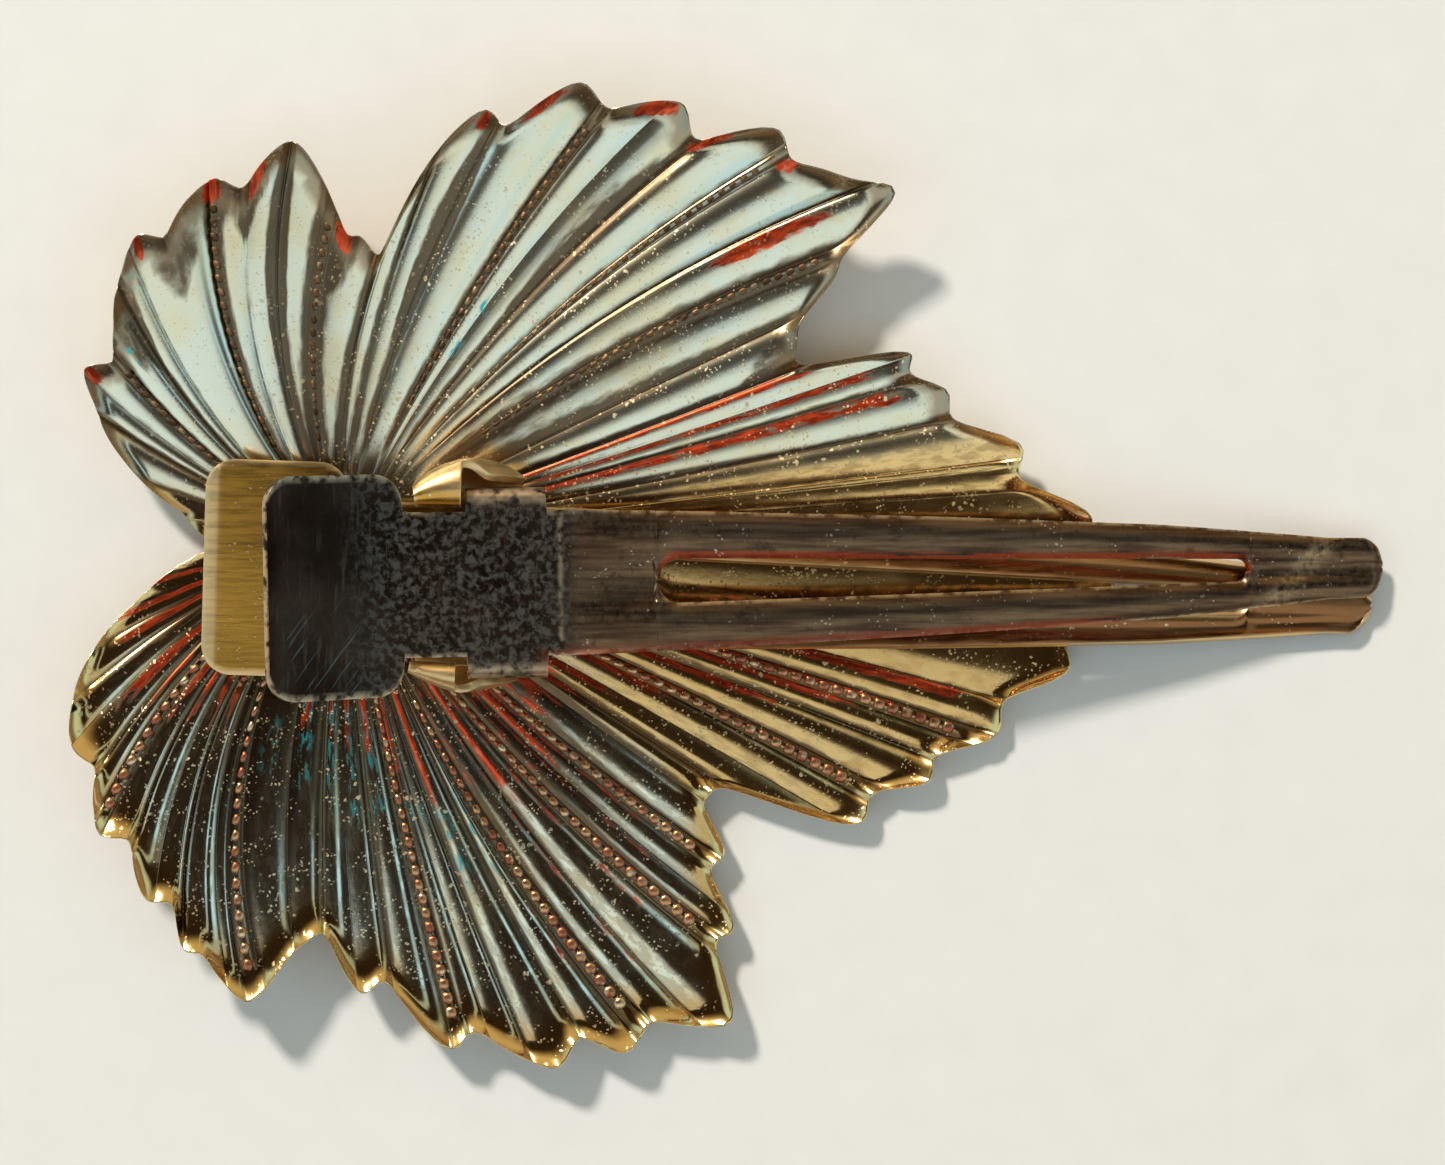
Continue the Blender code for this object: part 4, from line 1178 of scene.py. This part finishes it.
def spring(matrix, closing, material):
    """A strip looped forward under the hinge, with a leg on each lever."""
    floor_z = -HINGE_RISE + 0.5 * SHEET + RESTING_GAP + 0.5 * SPRING_SHEET
    roof = -0.5 * SHEET - 0.5 * SPRING_SHEET - 2.0 * RUNNING_GAP
    bends = [(-NECK_BACK, -NECK_BACK - TAB_BEND_LENGTH, TAB_BEND)]
    turned = Matrix.Rotation(closing, 3, "Y")
    tab, normal = follow(-SPRING_BACK, bends)
    upper_end = turned @ (tab + normal * (-0.5 * SHEET - 0.5 * SPRING_SHEET - RUNNING_GAP))
    knee = turned @ Vector((-NECK_BACK, 0.0, roof))
    loop_top = turned @ Vector((SPRING_LOOP_AT, 0.0, roof))
    radius = 0.5 * (loop_top.z - floor_z)
    path = [Vector((-SPRING_BACK * (1.0 - k / 8), 0.0, floor_z)) for k in range(8)]
    for index in range(25):
        turn = math.pi * index / 24
        forward = math.sin(turn) * radius
        raised = (1.0 - math.cos(turn)) * radius
        path.append(Vector((loop_top.x + forward, 0.0, floor_z + raised)))
    path += [loop_top.lerp(knee, k / 6) for k in range(1, 7)]
    path += [knee.lerp(upper_end, k / 8) for k in range(1, 9)]
    data = bmesh.new()
    widths = [SPRING_HALF * (k / 4 - 1.0) for k in range(9)]
    rows = [[data.verts.new(point + Vector((0.0, y, 0.0))) for y in widths] for point in path]
    for row, following in zip(rows, rows[1:]):
        for j in range(len(widths) - 1):
            data.faces.new([row[j], following[j], following[j + 1], row[j + 1]])
    mesh = smooth_mesh("spring_strip", data)
    mesh.materials.append(material)
    item = linked("spring_strip", mesh)
    finish_sheet(item, SPRING_SHEET, matrix, SPRING_ROUNDING)
    bpy.context.view_layer.update()
    graph = bpy.context.evaluated_depsgraph_get()
    item.data = bpy.data.meshes.new_from_object(item.evaluated_get(graph))
    item.modifiers.clear()
    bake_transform(item)
    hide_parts("spring")


# ---- stage ----

def floor_material():
    """Plain pale board."""
    made, n = new_material("pale_floor")
    grain = n.noise(n.position(), 300.0, 4.0)
    colour = n.mix(grain, FLOOR_SHADE, FLOOR_LIGHT)
    n.metal(colour, 0.75, n.bump(grain, 0.05, 0.2 * MM), metallic=0.0)
    return made


def floor():
    data = bmesh.new()
    bmesh.ops.create_grid(data, x_segments=1, y_segments=1, size=FLOOR_SIZE)
    mesh = bpy.data.meshes.new("floor")
    data.to_mesh(mesh)
    data.free()
    mesh.materials.append(floor_material())
    item = linked("floor", mesh)
    item.location = (0.0, 0.0, -FLOOR_GAP)
    item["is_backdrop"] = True


def studio_world():
    """A dim warm room with a broad pale window and narrower pale strips, for the metal to mirror."""
    world = bpy.data.worlds.new("studio")
    bpy.context.scene.world = world
    world.use_nodes = True
    n = Nodes(world.node_tree)
    x, y, z = n.split(n.add("ShaderNodeTexCoord").outputs["Generated"])
    toward = n.times(y, -1.0)
    window = n.times(n.step(toward, 0.1, 0.17), n.step(toward, 0.8, 0.62))
    window = n.times(window, n.step(z, 0.25, 0.45))
    side = n.math("ABSOLUTE", x)
    strip = n.times(n.step(side, 0.62, 0.76), n.step(z, 0.3, 0.45))
    slit = n.times(n.step(x, 0.25, 0.3), n.step(x, 0.42, 0.36))
    strip = n.math("MAXIMUM", strip, slit)
    colour = n.mix(n.step(z, 0.6, 0.1), ROOM_DARK, ROOM_LOW)
    colour = n.mix(window, colour, WINDOW_PALE)
    colour = n.mix(strip, colour, STRIP_BLUE)
    seen = n.add("ShaderNodeLightPath").outputs["Is Camera Ray"]
    glow = n.times(n.step(y, 0.3, 0.7), n.step(z, 0.1, 0.35))
    colour = n.mix(glow, colour, ROOM_GLOW)
    colour = n.mix(seen, colour, BACKDROP)
    background = n.fill("ShaderNodeBackground", (colour, 1.0))
    n.fill("ShaderNodeOutputWorld", (background.outputs[0],))


def key_light():
    """A soft lamp behind the clip, off to one side."""
    light = bpy.data.lights.new("key", "AREA")
    light.shape = "DISK"
    light.size = KEY_LIGHT_SIZE
    light.energy = KEY_LIGHT_POWER
    light.color = KEY_LIGHT_COLOUR
    item = linked("key", light)
    item.location = KEY_LIGHT_AT
    item.rotation_euler = (-KEY_LIGHT_AT).to_track_quat("-Z", "Y").to_euler()


def camera():
    """Straight down on the back of the clip, from 220 mm."""
    lens = bpy.data.cameras.new("camera")
    lens.sensor_width = SENSOR_WIDTH
    lens.lens = FOCAL_LENGTH
    lens.clip_start = 0.01
    item = linked("camera", lens)
    item.location = CAMERA_AT
    bpy.context.scene.camera = item


def corners(box):
    return [list(map(float, corner)) for corner in box]


# ---- assembly ----

lower_place, upper_place, shut_angle = lever_matrices(Vector(frame["joints"][0]["pos_m"]))
leaf_piece([leaf_material(), leaf_edge_material()])
bead_piece([bead_material()])
upper_lever(upper_place, [bronze_material()])
lower_lever(lower_place, [lever_gold_material()])
spring(lower_place, shut_angle, spring_material())
solder_skin = solder_material()
for material_slot in frame["nodes"]["solder"].material_slots:
    material_slot.material = solder_skin

floor()
studio_world()
key_light()
camera()
bpy.context.scene.view_settings.view_transform = "Standard"

{"cad": corners(cad_box), "visual": corners(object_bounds())}
